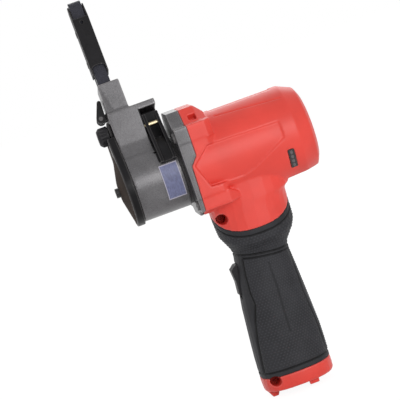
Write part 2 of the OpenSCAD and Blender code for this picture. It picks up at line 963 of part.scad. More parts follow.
module planet_gear(k) {
    at = 360 * k / planet_count;
    turn = at + 180 + at * sun_teeth / planet_teeth + 180 / planet_teeth;
    color("silver") at_axis() plate_x(gear_x0, gear_w) translate(polar(carrier_r, at)) difference() {
        rotate(turn) spur(planet_teeth);
        circle(planet_pin_r + run_clear);
    }
}

module planet_gear_a() {
    planet_gear(0);
}

module planet_gear_b() {
    planet_gear(1);
}

module planet_gear_c() {
    planet_gear(2);
}

module motor_pinion() {
    color("silver") at_axis() plate_x(gear_x0, gear_w) difference() {
        spur(sun_teeth);
        circle(pinion_shaft_r + seat_clear);
    }
}

module ball_bearing(x0, w, r, bore) {
    race = (r - bore) * race_share;
    color("lightgray") at_axis() {
        tube_x(x0, w, r, r - race);
        tube_x(x0, w, bore + race, bore);
        tube_x(x0 + shield_sink, w - 2 * shield_sink, r - race, bore + race);
    }
}

module front_spindle_bearing() {
    ball_bearing(neck_x0 + sb_inset, sb_w, sb_r, spindle_r);
}

module rear_spindle_bearing() {
    ball_bearing(case_floor_x - sb_w - sb_inset, sb_w, sb_r, spindle_r);
}

module motor_plate() {
    color("silver") at_axis() tube_x(plate_x, plate_t, spigot_r, mb_r + seat_clear);
}

module front_motor_bearing() {
    ball_bearing(plate_x, mb_w, mb_r, shaft_r);
}

module rear_motor_bearing() {
    ball_bearing(rear_bearing_x, mb_w, mb_r, shaft_r);
}

module stator_core() {
    color("slategray") at_axis() plate_x(stator_x0, stator_len) difference() {
        union() {
            difference() {
                circle(stator_r);
                circle(stator_r - stator_yoke);
            }
            for (k = [0:slot_count - 1]) rotate(360 * k / slot_count) {
                translate([tooth_tip_r, -tooth_w / 2])
                    square([stator_r - tooth_tip_r - stator_yoke / 2, tooth_w]);
                translate([tooth_tip_r - tooth_shoe_h / 2, -tooth_shoe_w / 2])
                    square([tooth_shoe_h, tooth_shoe_w]);
            }
        }
        circle(tooth_tip_r);
    }
}

module stator_windings() {
    outer_w = tooth_w + 2 * coil_t;
    inner_w = tooth_w + 2 * seat_clear;
    color("peru") at_axis() for (k = [0:slot_count - 1]) rotate([360 * k / slot_count, 0, 0]) difference() {
        translate([stator_x0 - coil_over, coil_r0, -outer_w / 2])
            cube([stator_len + 2 * coil_over, coil_r1 - coil_r0, outer_w]);
        translate([stator_x0 - seat_clear, coil_r0 - over, -inner_w / 2])
            cube([stator_len + 2 * seat_clear, coil_r1 - coil_r0 + 2 * over, inner_w]);
    }
}

module rotor_core() {
    color("dimgray") at_axis() plate_x(stator_x0, stator_len) difference() {
        circle(rotor_r);
        circle(shaft_r);
        for (k = [0:magnet_count - 1]) rotate(360 * k / magnet_count)
            translate([rotor_r - magnet_depth, -magnet_w / 2]) square([magnet_t, magnet_w]);
    }
}

module rotor_shaft() {
    step_x = plate_x - gear_gap;
    color("silver") at_axis() {
        rod_x(gear_x0, step_x - gear_x0, pinion_shaft_r);
        rod_x(step_x, rear_bearing_x + mb_w - step_x, shaft_r - run_clear);
    }
}

module fan() {
    color("black") at_axis() difference() {
        union() {
            rod_x(fan_x0, fan_t, fan_r);
            rod_x(fan_x0, fan_len, fan_hub_r);
            for (k = [0:fan_blades - 1]) rotate([360 * k / fan_blades, 0, 0])
                translate([fan_x0, fan_blade_r0, -fan_blade_t / 2])
                    cube([fan_len, fan_r - fan_blade_r0 - fan_blade_t, fan_blade_t]);
        }
        rod_x(fan_x0 - over, fan_len + 2 * over, shaft_r);
    }
}

// Electrics
module switch_module() {
    z0 = cavity_floor + seat_clear;
    color("black") difference() {
        translate([switch_x0, -switch_w / 2, z0])
            cube([switch_d, switch_w, trigger_z + switch_over - z0]);
        translate([0, 0, trigger_z]) rod_x(switch_x0 - over, switch_d, stem_r + run_clear);
    }
}

module control_board() {
    x0 = cavity_x0 + (cavity_d - board_d) / 2;
    color("darkgreen") translate([x0, -board_w / 2, board_z]) cube([board_d, board_w, board_t]);
    color("black") for (share = chip_shares)
        translate([x0 + board_d * share - chip_d / 2, -chip_w / 2, board_z + board_t])
            cube([chip_d, chip_w, chip_h]);
}

module terminal_block() {
    mid_x = socket_x0 + socket_d / 2;
    color("black") translate([socket_x0 + seat_clear, -socket_w / 2 + seat_clear, socket_h])
        linear_extrude(term_h - seat_clear)
            rounded_box([socket_d - 2 * seat_clear, socket_w - 2 * seat_clear], socket_r);
    color("gold") for (k = [0:contact_count - 1])
        translate([
            mid_x - contact_d / 2,
            (k - (contact_count - 1) / 2) * contact_pitch - contact_w / 2,
            socket_h - contact_h
        ]) cube([contact_d, contact_w, contact_h]);
}

// Light strip that follows the barrel's side
module gauge_body(slip) {
    mirror([0, 1, 0]) rotate([90 + gauge_angle - gauge_span / 2, 0, 0]) turned_x(gauge_span)
        translate([barrel_r - gauge_t, gauge_x - gauge_w / 2 - slip])
            square([gauge_t + gauge_proud + slip, gauge_w + 2 * slip]);
}

module charge_gauge() {
    color("black") at_axis() gauge_body(0);
}

// Trigger: finger face, side walls and stem
module trigger() {
    bottom = -trigger_h / 2;
    top = trigger_h / 2;
    color("black") translate([0, 0, trigger_z]) {
        plate_y(trigger_w) polygon([
            [-trigger_back, bottom], [-trigger_back, top], [-trigger_front + trigger_nose, top],
            [-trigger_front, top - trigger_lip], [-trigger_front + trigger_dish, 0],
            [-trigger_front, bottom + trigger_lip], [-trigger_front + trigger_nose, bottom]
        ]);
        rod_x(-trigger_back, trigger_back + switch_x0 + stem_reach, stem_r);
    }
}

// Spindle with planet carrier, drive wheel
module spindle() {
    end_x = belt_x - wheel_w / 2 - spindle_end / 2;
    color("silver") at_axis() difference() {
        union() {
            rod_x(end_x, carrier_x0 - end_x + carrier_t, spindle_r - run_clear);
            rod_x(carrier_x0, carrier_t, carrier_r + carrier_rim);
            for (k = [0:planet_count - 1])
                translate([0, each_planet(k)[0], each_planet(k)[1]])
                    rod_x(carrier_x0, carrier_t + gear_gap + gear_w, planet_pin_r);
        }
        rod_x(end_x - over, wheel_bolt_len + over, wheel_bolt_r + seat_clear);
    }
}

function each_planet(k) = polar(carrier_r, 360 * k / planet_count);

module drive_wheel() {
    color("silver") at_axis() tube_x(belt_x - wheel_w / 2, wheel_w, hub_r, spindle_r);
}

module wheel_tyre() {
    color("black") at_axis() difference() {
        turned_x() polygon([
            [0, belt_x - wheel_w / 2], [wheel_r - roller_crown, belt_x - wheel_w / 2],
            [wheel_r, belt_x - wheel_w / 4], [wheel_r, belt_x + wheel_w / 4],
            [wheel_r - roller_crown, belt_x + wheel_w / 2], [0, belt_x + wheel_w / 2]
        ]);
        rod_x(belt_x - wheel_w / 2 - over, wheel_w + 2 * over, hub_r);
    }
}

module spindle_screw() {
    end_x = belt_x - wheel_w / 2 - spindle_end / 2;
    out_x = drum_x0 - stud_out;
    color("black") at_axis() difference() {
        union() {
            rod_x(out_x, end_x - out_x, stud_r);
            rod_x(end_x - flange_t, flange_t, flange_r);
            rod_x(end_x, wheel_bolt_len - spindle_end, wheel_bolt_r);
        }
        rod_x(out_x - over, socket_key_depth + over, socket_key_r, $fn = 6);
    }
}

// Head
function run_point(side, z) =
    let (
        p = polar(wheel_r, run_angle),
        q = polar(roller_r, run_angle) + [0, arm_reach],
        s = (z - p[1]) / (q[1] - p[1])
    )
    [side * (p[0] + (q[0] - p[0]) * s), z];

module belt_slot(side) {
    low = run_point(side, wheel_r * sin(run_angle));
    high = run_point(side, post_h + over);
    outward = [belt_slot_out * side, 0];
    inward = [belt_slot_in * side, 0];
    plate_x(belt_x - belt_w / 2 - gap, belt_w + 2 * gap)
        polygon([low - inward, low + outward, high + outward, high - inward]);
}

module tower_outline() {
    post_x0 = drum_x0 + post_left;
    polygon([
        [drum_x0, 0], [drum_x0, post_ramp_z], [post_x0, post_ramp_z + post_ramp],
        [post_x0, post_h], [post_x0 + post_w, post_h], [post_x0 + post_w, block_h],
        [drum_x1, block_h], [drum_x1, block_h - roof_t], [block_x1, block_h - roof_t],
        [block_x1, 0]
    ]);
}

// Hollow blend between the tower's side and the drum, in (y, z)
module blend_outline() {
    mid_y = tower_half + blend_r;
    mid_z = sqrt(pow(drum_r + blend_r, 2) - mid_y * mid_y);
    edge = [for (p = arc(blend_r, 180, 180 + atan2(mid_z, mid_y), arc_steps))
        p + [mid_y - blend_sink, mid_z - blend_sink]];
    polygon(concat([[0, edge[0][1]]], edge, [[0, 0]]));
}

// Step and slanted bevel on the front of the post
module post_cuts() {
    post_x0 = drum_x0 + post_left;
    front_y = post_set - tower_half;
    translate([post_x0 - over, -tower_half - over, block_h])
        cube([post_w + 2 * over, over + post_set, post_h]);
    translate([post_x0, front_y, block_h]) linear_extrude(post_h - block_h + over, scale = post_bevel_tip_share)
        polygon([
            [-over, -over], [post_bevel_w * (1 + over / post_bevel_d), -over],
            [-over, post_bevel_d * (1 + over / post_bevel_w)]
        ]);
}

module lock_ear() {
    reach = drum_x0 - lock_x + over;
    translate([lock_x, 0, lock_z]) plate_y(ear_t)
        polygon(concat(arc(ear_r, 90, 270, arc_steps), [[reach, -ear_r], [reach, ear_r]]));
}

module head_casting() {
    color("gray") in_head() difference() {
        union() {
            rod_x(drum_x0, drum_len, drum_r);
            plate_y(2 * tower_half) tower_outline();
            translate([block_x1 - over, back_wall_y, 0])
                cube([drum_x1 - block_x1 + over, tower_half - back_wall_y, block_h - over]);
            for (side = [0, 1]) mirror([0, side, 0]) plate_x(drum_x0, block_w) blend_outline();
            lock_ear();
        }
        post_cuts();
        rod_x(drum_x0 - over, wheel_room + over, wheel_room_r);
        rod_x(drum_x0, drum_len, spindle_r + over);
        rod_x(collar_x0, drum_x1 - collar_x0 + over, neck_r + run_clear);
        for (side = [-1, 1]) belt_slot(side);
        translate([belt_x - bar_half_w - seat_clear, -bar_half_t - seat_clear, bore_floor])
            cube([2 * (bar_half_w + seat_clear), 2 * (bar_half_t + seat_clear), post_h]);
        translate([0, 0, knob_z]) rod_x(drum_x0 - over, belt_inset - bar_half_w + over, knob_shaft_r + run_clear);
        translate([0, clamp_y, clamp_z])
            rod_x(block_x1 - clamp_pin_grip, clamp_pin_grip + over, clamp_pin_r + seat_clear);
        translate([lock_x, 0, lock_z])
            rod_y(-lock_w, 2 * lock_w, lock_pin_r + seat_clear);
        rotate([-(clamp_low_angle + clamp_high_angle) / 2, 0, 0])
            translate([collar_x0, -drum_r - over, -slit_w / 2])
                cube([drum_x1 - collar_x0 + over, drum_r - neck_r + 2 * over, slit_w]);
    }
}

// Outline of the cover: a round foot that narrows to a flat top
module cover_outline(r, half, top) {
    circle(r);
    reach = sqrt(top * top + half * half);
    lean = acos(r / reach) + atan2(half, top);
    polygon([polar(r, 90 - lean), [half, top], [-half, top], polar(r, 90 + lean), [0, 0]]);
}

module cover_dome_cone() {
    x1 = drum_x0 - cover_gap - cover_rim_t;
    cone_x(x1 - cover_dome, cover_dome, cover_flat_r, cover_r - cover_dome_inset, $fn = 40);
}

module side_cover() {
    x1 = drum_x0 - cover_gap;
    x0 = x1 - cover_rim_t;
    color("black") in_head() difference() {
        union() {
            plate_x(x0, cover_rim_t) cover_outline(cover_r, cover_top_half, cover_top);
            cover_dome_cone();
            rod_x(x1 - over, cover_spigot + over, wheel_room_r - gap);
            translate([x1 - cover_tab_t, -cover_tab_half, 0])
                cube([cover_tab_t, 2 * cover_tab_half, cover_tab_top]);
        }
        rod_x(x0 - cover_dome - over, stud_out + cover_spigot, cover_hole_r);
        rod_x(x0 + cover_hollow, cover_rim_t + cover_spigot, wheel_room_r - gap - cover_hollow);
        translate([0, 0, knob_z]) rod_x(x0 - over, cover_rim_t + 2 * over, knob_shaft_r + run_clear);
        translate([x0 - cover_dome - over, -knob_r - gap, knob_z - knob_r - gap])
            cube([cover_dome + cover_rim_t - cover_tab_t + over, 2 * (knob_r + gap), cover_tab_top]);
    }
}

module foil_plate() {
    color("mediumpurple") in_head() mirror([0, 1, 0]) rotate([90 + foil_low_angle, 0, 0])
        turned_x(foil_span) translate([drum_r + seat_clear, foil_x0]) square([foil_t, foil_len]);
}

module clamp_pin() {
    color("goldenrod") in_head() translate([0, clamp_y, clamp_z])
        rod_x(block_x1 - clamp_pin_grip, clamp_pin_grip + clamp_w + gap, clamp_pin_r);
}

module lock_pin() {
    color("silver") in_head() translate([lock_x, 0, lock_z]) rod_y(-lock_w / 2, lock_w, lock_pin_r);
}

function loop_outline(r0, r1) = concat(
    arc_at([0, arm_reach], r1, run_angle, 180 - run_angle),
    arc_at([0, 0], r0, 180 - run_angle, 360 + run_angle)
);
function arc_at(c, r, a0, a1) = [for (p = arc(r, a0, a1, loop_steps)) c + p];

module abrasive_belt() {
    color("dimgray") in_head() plate_x(belt_x - belt_w / 2, belt_w) difference() {
        polygon(loop_outline(wheel_r + belt_free + belt_t, roller_r + belt_free + belt_t));
        polygon(loop_outline(wheel_r + belt_free, roller_r + belt_free));
    }
}

// Coil spring under the arm bar
function coil_point(t, height) = [spring_r * cos(t), spring_r * sin(t), height * t / (360 * spring_turns)];
module arm_spring() {
    height = bar_bottom - bore_floor - 2 * spring_wire_r - 2 * seat_clear;
    steps = spring_turns * spring_rings;
    rings = [
        for (i = [0:steps])
            let (t = 360 * i / spring_rings, c = coil_point(t, height))
            [for (j = [0:spring_sides - 1])
                let (a = 360 * j / spring_sides)
                c + spring_wire_r * [cos(a) * cos(t), cos(a) * sin(t), sin(a)]]
    ];
    n = spring_sides;
    sides = [
        for (i = [0:steps - 1], j = [0:n - 1])
            let (a = i * n + j, b = i * n + (j + 1) % n)
            each [[a, a + n, b + n], [a, b + n, b]]
    ];
    low = [[for (j = [0:n - 1]) j]];
    high = [[for (j = [n - 1:-1:0]) steps * n + j]];
    color("silver") in_head() translate([belt_x, 0, bore_floor + spring_wire_r + seat_clear])
        polyhedron([for (ring = rings) each ring], concat(sides, low, high));
}

// Clamp lever: curved tail on the drum, forked top on its pin
module clamp_outline() {
    r0 = drum_r + clamp_gap;
    r1 = r0 + clamp_t;
    low = 180 - clamp_low_angle;
    high = 180 - clamp_high_angle;
    polygon(concat(
        arc(r0, low, high, arc_steps),
        [[clamp_y + clamp_hub_r, clamp_z], [clamp_y + clamp_hub_r / 2, clamp_z + clamp_tail]],
        [[clamp_y - clamp_hub_r / 2, clamp_z + clamp_tail], [clamp_y - clamp_hub_r, clamp_z]],
        arc(r1, (low + high) / 2, low, arc_steps)
    ));
}

module clamp_lever() {
    x0 = block_x1 + gap;
    color("black") in_head() difference() {
        plate_x(x0, clamp_w) clamp_outline();
        translate([0, clamp_y, clamp_z]) rod_x(x0 - over, clamp_w + 2 * over, clamp_pin_r + run_clear);
        translate([x0 + (clamp_w - clamp_slot) / 2, -drum_r - 2 * clamp_t, clamp_slot_z])
            cube([clamp_slot, drum_r + 2 * clamp_t, clamp_z]);
        plate_x(x0 + (clamp_w - clamp_slot) / 2, clamp_slot) difference() {
            translate([-2 * drum_r, -drum_r]) square([2 * drum_r, drum_r + clamp_slot_z + over]);
            circle(drum_r + clamp_gap + clamp_t - clamp_recess);
        }
    }
}

// A pear outline: a large arc about the origin and a small one at a distance along x
function pear(r0, r1, len) =
    let (lean = acos((r0 - r1) / len))
    concat(arc(r0, lean, 360 - lean, arc_steps), [for (p = arc(r1, -lean, lean, arc_steps)) p + [len, 0]]);

module lock_lever() {
    color("black") in_head() translate([lock_x, 0, lock_z]) difference() {
        plate_y(lock_w) rotate(90 - lock_lean) polygon(pear(lock_hub_r, lock_tip_r, lock_len));
        rod_y(-lock_w, 2 * lock_w, lock_pin_r + run_clear);
        plate_y(ear_t + 2 * gap) circle(lock_fork);
    }
}

module tracking_knob() {
    x1 = drum_x0 - cover_gap - cover_tab_t - gap;
    x0 = x1 - knob_len;
    color("black") in_head() translate([0, 0, knob_z]) difference() {
        union() {
            turned_x() polygon([
                [0, x0], [knob_r - knob_round, x0], [knob_r, x0 + knob_round], [knob_r, x1], [0, x1]
            ]);
            rod_x(x1, belt_x - bar_half_w - gap - x1, knob_shaft_r);
        }
        for (k = [0:knob_flutes - 1]) rotate([360 * k / knob_flutes, 0, 0])
            translate([0, knob_r, 0]) rod_x(x0 - over, knob_len - over, knob_flute_r);
    }
}

// Arm
module arm_bar() {
    color("dimgray") in_head() difference() {
        translate([belt_x - bar_half_w, -bar_half_t, bar_bottom])
            cube([2 * bar_half_w, 2 * bar_half_t, bar_top - bar_bottom]);
        rivet_holes(0);
    }
}

module rivet_holes(slip) {
    for (share = rivet_z_shares)
        translate([0, 0, channel_bottom + share * (bar_top - channel_bottom)])
            rod_x(belt_x - arm_w, 2 * arm_w, rivet_r + slip);
}

module channel_side() {
    polygon([
        [-channel_front, channel_bottom], [channel_back, channel_bottom],
        [channel_back, arm_reach], [0, arm_reach + channel_end],
        [-channel_back, arm_reach + channel_end], [-channel_front, channel_web_top]
    ]);
}

module arm_channel() {
    color("black") in_head() difference() {
        union() {
            plate_x(belt_x - arm_w / 2, arm_wall) channel_side();
            plate_x(belt_x + arm_w / 2 - arm_wall, arm_wall) channel_side();
            translate([belt_x - arm_w / 2, -channel_front, channel_web_bottom])
                cube([arm_w, arm_wall, channel_web_top - channel_web_bottom]);
        }
        rivet_holes(0);
        translate([belt_x, 0, channel_web_bottom]) scale([1, 1, channel_arch_share])
            rod_y(-channel_front - over, arm_wall + over + belt_t, arm_w / 2 - arm_wall);
        translate([0, 0, arm_reach]) rod_x(belt_x - arm_w, 2 * arm_w, axle_r);
        translate([belt_x, 0, channel_hole_z]) rod_y(-channel_front - over, arm_wall + 2 * over, channel_hole_r);
    }
}

module arm_rivets() {
    color("silver") in_head() for (share = rivet_z_shares)
        translate([0, 0, channel_bottom + share * (bar_top - channel_bottom)]) {
            rod_x(belt_x - arm_w / 2 - rivet_head_t, arm_w + 2 * rivet_head_t, rivet_r);
            for (x = [belt_x - arm_w / 2 - rivet_head_t, belt_x + arm_w / 2])
                rod_x(x, rivet_head_t, rivet_head_r);
        }
}

module nose_axle() {
    color("silver") in_head() translate([0, 0, arm_reach]) rod_x(belt_x - arm_w / 2, arm_w, axle_r);
}

module nose_roller() {
    half = arm_w / 2 - arm_wall - roller_gap;
    color("dimgray") in_head() translate([0, 0, arm_reach]) difference() {
        turned_x() polygon([
            [0, belt_x - half], [roller_r - roller_crown, belt_x - half], [roller_r, belt_x - half / 2],
            [roller_r, belt_x + half / 2], [roller_r - roller_crown, belt_x + half], [0, belt_x + half]
        ]);
        rod_x(belt_x - arm_w, 2 * arm_w, axle_r + run_clear);
    }
}

right_housing();
left_housing();
right_grip();
left_grip();
housing_screws();
gearcase();
gearcase_screws();
swivel_washer();
ring_gear();
motor_plate();
front_motor_bearing();
rear_motor_bearing();
stator_core();
stator_windings();
front_spindle_bearing();
rear_spindle_bearing();
switch_module();
control_board();
terminal_block();
charge_gauge();
trigger();
spindle();
drive_wheel();
wheel_tyre();
spindle_screw();
rotor_core();
rotor_shaft();
motor_pinion();
fan();
planet_gear_a();
planet_gear_b();
planet_gear_c();
head_casting();
side_cover();
foil_plate();
clamp_pin();
lock_pin();
abrasive_belt();
arm_spring();
clamp_lever();
lock_lever();
tracking_knob();
arm_bar();
arm_channel();
arm_rivets();
nose_axle();
nose_roller();
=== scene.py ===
import json
import math

import bmesh
import bpy
import numpy as np
from mathutils import Matrix, Vector

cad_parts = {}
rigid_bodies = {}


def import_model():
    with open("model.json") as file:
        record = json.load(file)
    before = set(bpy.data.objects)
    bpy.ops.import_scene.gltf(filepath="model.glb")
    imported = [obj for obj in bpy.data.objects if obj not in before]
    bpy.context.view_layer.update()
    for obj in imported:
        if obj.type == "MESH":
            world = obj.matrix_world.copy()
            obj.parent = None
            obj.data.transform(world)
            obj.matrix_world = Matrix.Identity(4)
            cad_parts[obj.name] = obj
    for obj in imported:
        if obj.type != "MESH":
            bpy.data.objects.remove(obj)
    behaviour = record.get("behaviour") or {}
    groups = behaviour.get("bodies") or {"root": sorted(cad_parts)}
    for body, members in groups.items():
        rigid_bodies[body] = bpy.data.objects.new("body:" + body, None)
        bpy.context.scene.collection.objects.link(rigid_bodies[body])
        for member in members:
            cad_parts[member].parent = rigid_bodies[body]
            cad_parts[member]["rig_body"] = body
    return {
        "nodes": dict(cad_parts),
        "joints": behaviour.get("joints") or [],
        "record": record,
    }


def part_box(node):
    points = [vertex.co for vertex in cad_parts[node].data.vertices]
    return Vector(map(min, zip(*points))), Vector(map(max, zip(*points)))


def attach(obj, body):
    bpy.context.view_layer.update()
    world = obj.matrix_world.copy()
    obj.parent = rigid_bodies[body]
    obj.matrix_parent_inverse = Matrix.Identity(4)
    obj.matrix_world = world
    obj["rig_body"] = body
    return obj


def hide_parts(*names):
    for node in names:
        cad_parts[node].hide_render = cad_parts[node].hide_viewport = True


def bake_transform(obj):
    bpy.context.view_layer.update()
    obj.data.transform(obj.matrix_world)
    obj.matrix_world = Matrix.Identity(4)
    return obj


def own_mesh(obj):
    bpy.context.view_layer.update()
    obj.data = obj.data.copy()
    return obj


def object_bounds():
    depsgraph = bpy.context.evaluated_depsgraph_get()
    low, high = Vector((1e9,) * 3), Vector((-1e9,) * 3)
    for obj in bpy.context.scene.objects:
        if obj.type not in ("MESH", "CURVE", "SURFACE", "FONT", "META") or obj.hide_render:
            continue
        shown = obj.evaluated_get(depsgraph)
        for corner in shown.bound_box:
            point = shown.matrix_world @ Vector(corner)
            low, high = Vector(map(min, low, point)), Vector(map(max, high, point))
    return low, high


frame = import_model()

bl_info = {
    "name": "Band File Looks",
    "version": (1, 0, 0),
    "blender": (4, 5, 0),
    "location": "View3D > Sidebar > Band File",
    "description": "Finishes, soft edges and studio for a cordless band file",
    "category": "Object",
}

MM = 0.001
CAD_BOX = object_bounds()
NODES = frame["nodes"]
JOINTS = {joint["name"]: joint for joint in frame["joints"]}
SLOTS = {part["node"]: part["material_slot"] for part in frame["record"]["subparts"]}

# The drive axis, and the head's own directions: up along the arm, back across it
DRIVE = Vector(JOINTS["head_swivel"]["pos_m"])
HEAD_UP = Vector(JOINTS["arm_slide"]["axis"]).normalized()
HEAD_BACK = HEAD_UP.cross(Vector((1, 0, 0)))
HEAD_TURN = Matrix((Vector((1, 0, 0)), HEAD_BACK, HEAD_UP)).transposed().to_4x4()
HEAD_FRAME = Matrix.Translation(DRIVE) @ HEAD_TURN


# Properties

class BandFileColours(bpy.types.PropertyGroup):
    """Base colours of the finishes"""
    shell: bpy.props.FloatVectorProperty(
        name="Shell", description="Red of the two housing shells", subtype="COLOR",
        default=(0.73, 0.058, 0.042))
    grip: bpy.props.FloatVectorProperty(
        name="Grip", description="Charcoal of the soft grips", subtype="COLOR",
        default=(0.021, 0.021, 0.024))
    cast: bpy.props.FloatVectorProperty(
        name="Cast metal", description="Grey of the gearcase and the head", subtype="COLOR",
        default=(0.118, 0.114, 0.119))
    black: bpy.props.FloatVectorProperty(
        name="Black", description="Black of levers, arm and fasteners", subtype="COLOR",
        default=(0.007, 0.0065, 0.0075))
    # Painted reflection: the warm dark brown of the side cover's face
    cover: bpy.props.FloatVectorProperty(
        name="Cover face", description="Warm black of the side cover's face", subtype="COLOR",
        default=(0.045, 0.033, 0.027))
    belt: bpy.props.FloatVectorProperty(
        name="Belt", description="Dark grit of the abrasive belt", subtype="COLOR",
        default=(0.019, 0.019, 0.026))
    foil: bpy.props.FloatVectorProperty(
        name="Foil", description="Lilac of the plain foil plate", subtype="COLOR",
        default=(0.135, 0.145, 0.25))


class BandFileSizes(bpy.types.PropertyGroup):
    """Sizes of the soft edges and surface details"""
    shell_cell: bpy.props.FloatProperty(
        name="Shell cell", description="Mesh cell of the softened shells", unit="LENGTH",
        default=0.6 * MM)
    cast_cell: bpy.props.FloatProperty(
        name="Cast cell", description="Mesh cell of the softened castings", unit="LENGTH",
        default=0.55 * MM)
    small_cell: bpy.props.FloatProperty(
        name="Small cell", description="Mesh cell of softened levers and knobs", unit="LENGTH",
        default=0.35 * MM)
    thin_cell: bpy.props.FloatProperty(
        name="Thin cell", description="Mesh cell of the softened arm channel", unit="LENGTH",
        default=0.27 * MM)
    gauge_cell: bpy.props.FloatProperty(
        name="Gauge cell", description="Mesh cell of the softened gauge window", unit="LENGTH",
        default=0.2 * MM)
    grip_cell: bpy.props.FloatProperty(
        name="Grip cell", description="Mesh cell of the softened grips", unit="LENGTH",
        default=0.45 * MM)
    groove_width: bpy.props.FloatProperty(
        name="Groove width", description="Half width of the grooves in the grips", unit="LENGTH",
        default=0.75 * MM)
    groove_depth: bpy.props.FloatProperty(
        name="Groove depth", description="Depth of the grooves in the grips", unit="LENGTH",
        default=0.9 * MM)
    dot_pitch: bpy.props.FloatProperty(
        name="Dot pitch", description="Pitch of the raised dots on the grips", unit="LENGTH",
        default=2.1 * MM)
    dot_height: bpy.props.FloatProperty(
        name="Dot height", description="Height of the raised dots on the grips", unit="LENGTH",
        default=0.3 * MM)
    crease_width: bpy.props.FloatProperty(
        name="Crease width", description="Half width of the creases along the barrel",
        unit="LENGTH", default=0.9 * MM)
    crease_depth: bpy.props.FloatProperty(
        name="Crease depth", description="Depth of the creases along the barrel", unit="LENGTH",
        default=0.45 * MM)


class BandFileView(bpy.types.PropertyGroup):
    """Where the camera stands"""
    turn: bpy.props.FloatProperty(
        name="Turn", description="Angle round the upright axis", subtype="ANGLE",
        default=math.radians(-5.3))
    rise: bpy.props.FloatProperty(
        name="Rise", description="Angle above the horizon", subtype="ANGLE",
        default=math.radians(6.6))
    roll: bpy.props.FloatProperty(
        name="Roll", description="Roll about the viewing line", subtype="ANGLE",
        default=math.radians(-19.46))
    distance: bpy.props.FloatProperty(
        name="Distance", description="From the camera to the aim point", unit="LENGTH",
        default=1.4)
    aim_height: bpy.props.FloatProperty(
        name="Aim height", description="Height of the aim point on the origin's upright",
        unit="LENGTH", default=0.15)
    aim_pixel: bpy.props.FloatVectorProperty(
        name="Aim pixel", description="Where the aim point lies in the picture", size=2,
        default=(229.9, 178.3))
    pixels_per_metre: bpy.props.FloatProperty(
        name="Pixels per metre", description="Picture scale at the aim point", default=1434.2)


# Shader building blocks

def start_material(name, colour, roughness, metallic=0.0, specular=0.5):
    material = bpy.data.materials.new(name)
    material.use_nodes = True
    tree = material.node_tree
    bsdf = tree.nodes["Principled BSDF"]
    bsdf.inputs["Base Color"].default_value = (*colour, 1)
    bsdf.inputs["Roughness"].default_value = roughness
    bsdf.inputs["Metallic"].default_value = metallic
    bsdf.inputs["Specular IOR Level"].default_value = specular
    return material, tree, bsdf


def object_space(tree, stretch=(1, 1, 1)):
    place = tree.nodes.new("ShaderNodeTexCoord")
    mapping = tree.nodes.new("ShaderNodeMapping")
    mapping.inputs["Scale"].default_value = stretch
    tree.links.new(place.outputs["Object"], mapping.inputs["Vector"])
    return mapping.outputs["Vector"]


def grain(tree, size, detail=3.0, stretch=(1, 1, 1)):
    texture = tree.nodes.new("ShaderNodeTexNoise")
    texture.inputs["Scale"].default_value = 1 / size
    texture.inputs["Detail"].default_value = detail
    tree.links.new(object_space(tree, stretch), texture.inputs["Vector"])
    return texture.outputs[0]


def cells(tree, size):
    texture = tree.nodes.new("ShaderNodeTexVoronoi")
    texture.inputs["Scale"].default_value = 1 / size
    tree.links.new(object_space(tree), texture.inputs["Vector"])
    return texture.outputs["Distance"]


def remap(tree, value, to_low, to_high, from_low=0.3, from_high=0.7):
    node = tree.nodes.new("ShaderNodeMapRange")
    node.inputs["From Min"].default_value = from_low
    node.inputs["From Max"].default_value = from_high
    node.inputs["To Min"].default_value = to_low
    node.inputs["To Max"].default_value = to_high
    tree.links.new(value, node.inputs["Value"])
    return node.outputs["Result"]


def combine(tree, operation, first, second):
    node = tree.nodes.new("ShaderNodeMath")
    node.operation = operation
    for socket, value in zip(node.inputs, (first, second)):
        if isinstance(value, (int, float)):
            socket.default_value = value
        else:
            tree.links.new(value, socket)
    return node.outputs["Value"]


def layered(tree, first, second, share):
    """A share of the first pattern, and the second one for the rest."""
    return combine(tree, "ADD", combine(tree, "MULTIPLY", first, share),
                   combine(tree, "MULTIPLY", second, 1 - share))


def shade(colour, factor):
    return tuple(channel * factor for channel in colour)


def two_tone(tree, bsdf, pattern, colour, dark, light, low=0.35, high=0.65):
    """Lets a pattern vary the base colour between a darker and a lighter shade of it."""
    ramp = tree.nodes.new("ShaderNodeValToRGB")
    stops = ((low, dark), (high, light))
    for stop, (position, factor) in zip(ramp.color_ramp.elements, stops):
        stop.position = position
        stop.color = (*shade(colour, factor), 1)
    tree.links.new(pattern, ramp.inputs["Fac"])
    tree.links.new(ramp.outputs["Color"], bsdf.inputs["Base Color"])


def uneven_gloss(tree, bsdf, pattern, low, high):
    tree.links.new(remap(tree, pattern, low, high), bsdf.inputs["Roughness"])


def relief(tree, bsdf, pattern, depth, strength=1.0):
    """Adds a pattern to the surface's bumps, on top of those that are there."""
    bump = tree.nodes.new("ShaderNodeBump")
    bump.inputs["Strength"].default_value = strength
    bump.inputs["Distance"].default_value = depth
    tree.links.new(pattern, bump.inputs["Height"])
    socket = bsdf.inputs["Normal"]
    if socket.links:
        tree.links.new(socket.links[0].from_socket, bump.inputs["Normal"])
    tree.links.new(bump.outputs["Normal"], socket)


def tinted(tree, bsdf, share, colour):
    """Turns the base colour towards another one, by a share that varies over the surface."""
    socket = bsdf.inputs["Base Color"]
    mix = tree.nodes.new("ShaderNodeMix")
    mix.data_type = "RGBA"
    colours = [item for item in mix.inputs if item.type == "RGBA"]
    tree.links.new(share, mix.inputs[0])
    tree.links.new(socket.links[0].from_socket, colours[0])
    colours[1].default_value = (*colour, 1)
    tree.links.new([item for item in mix.outputs if item.type == "RGBA"][0], socket)


# Painted highlight along edges: its colour, and the sharpness at which it starts and is full
EDGE_HIGHLIGHT = (0.9, 0.85, 0.85)
HIGHLIGHT_STARTS, HIGHLIGHT_FULL = 0.51, 0.58


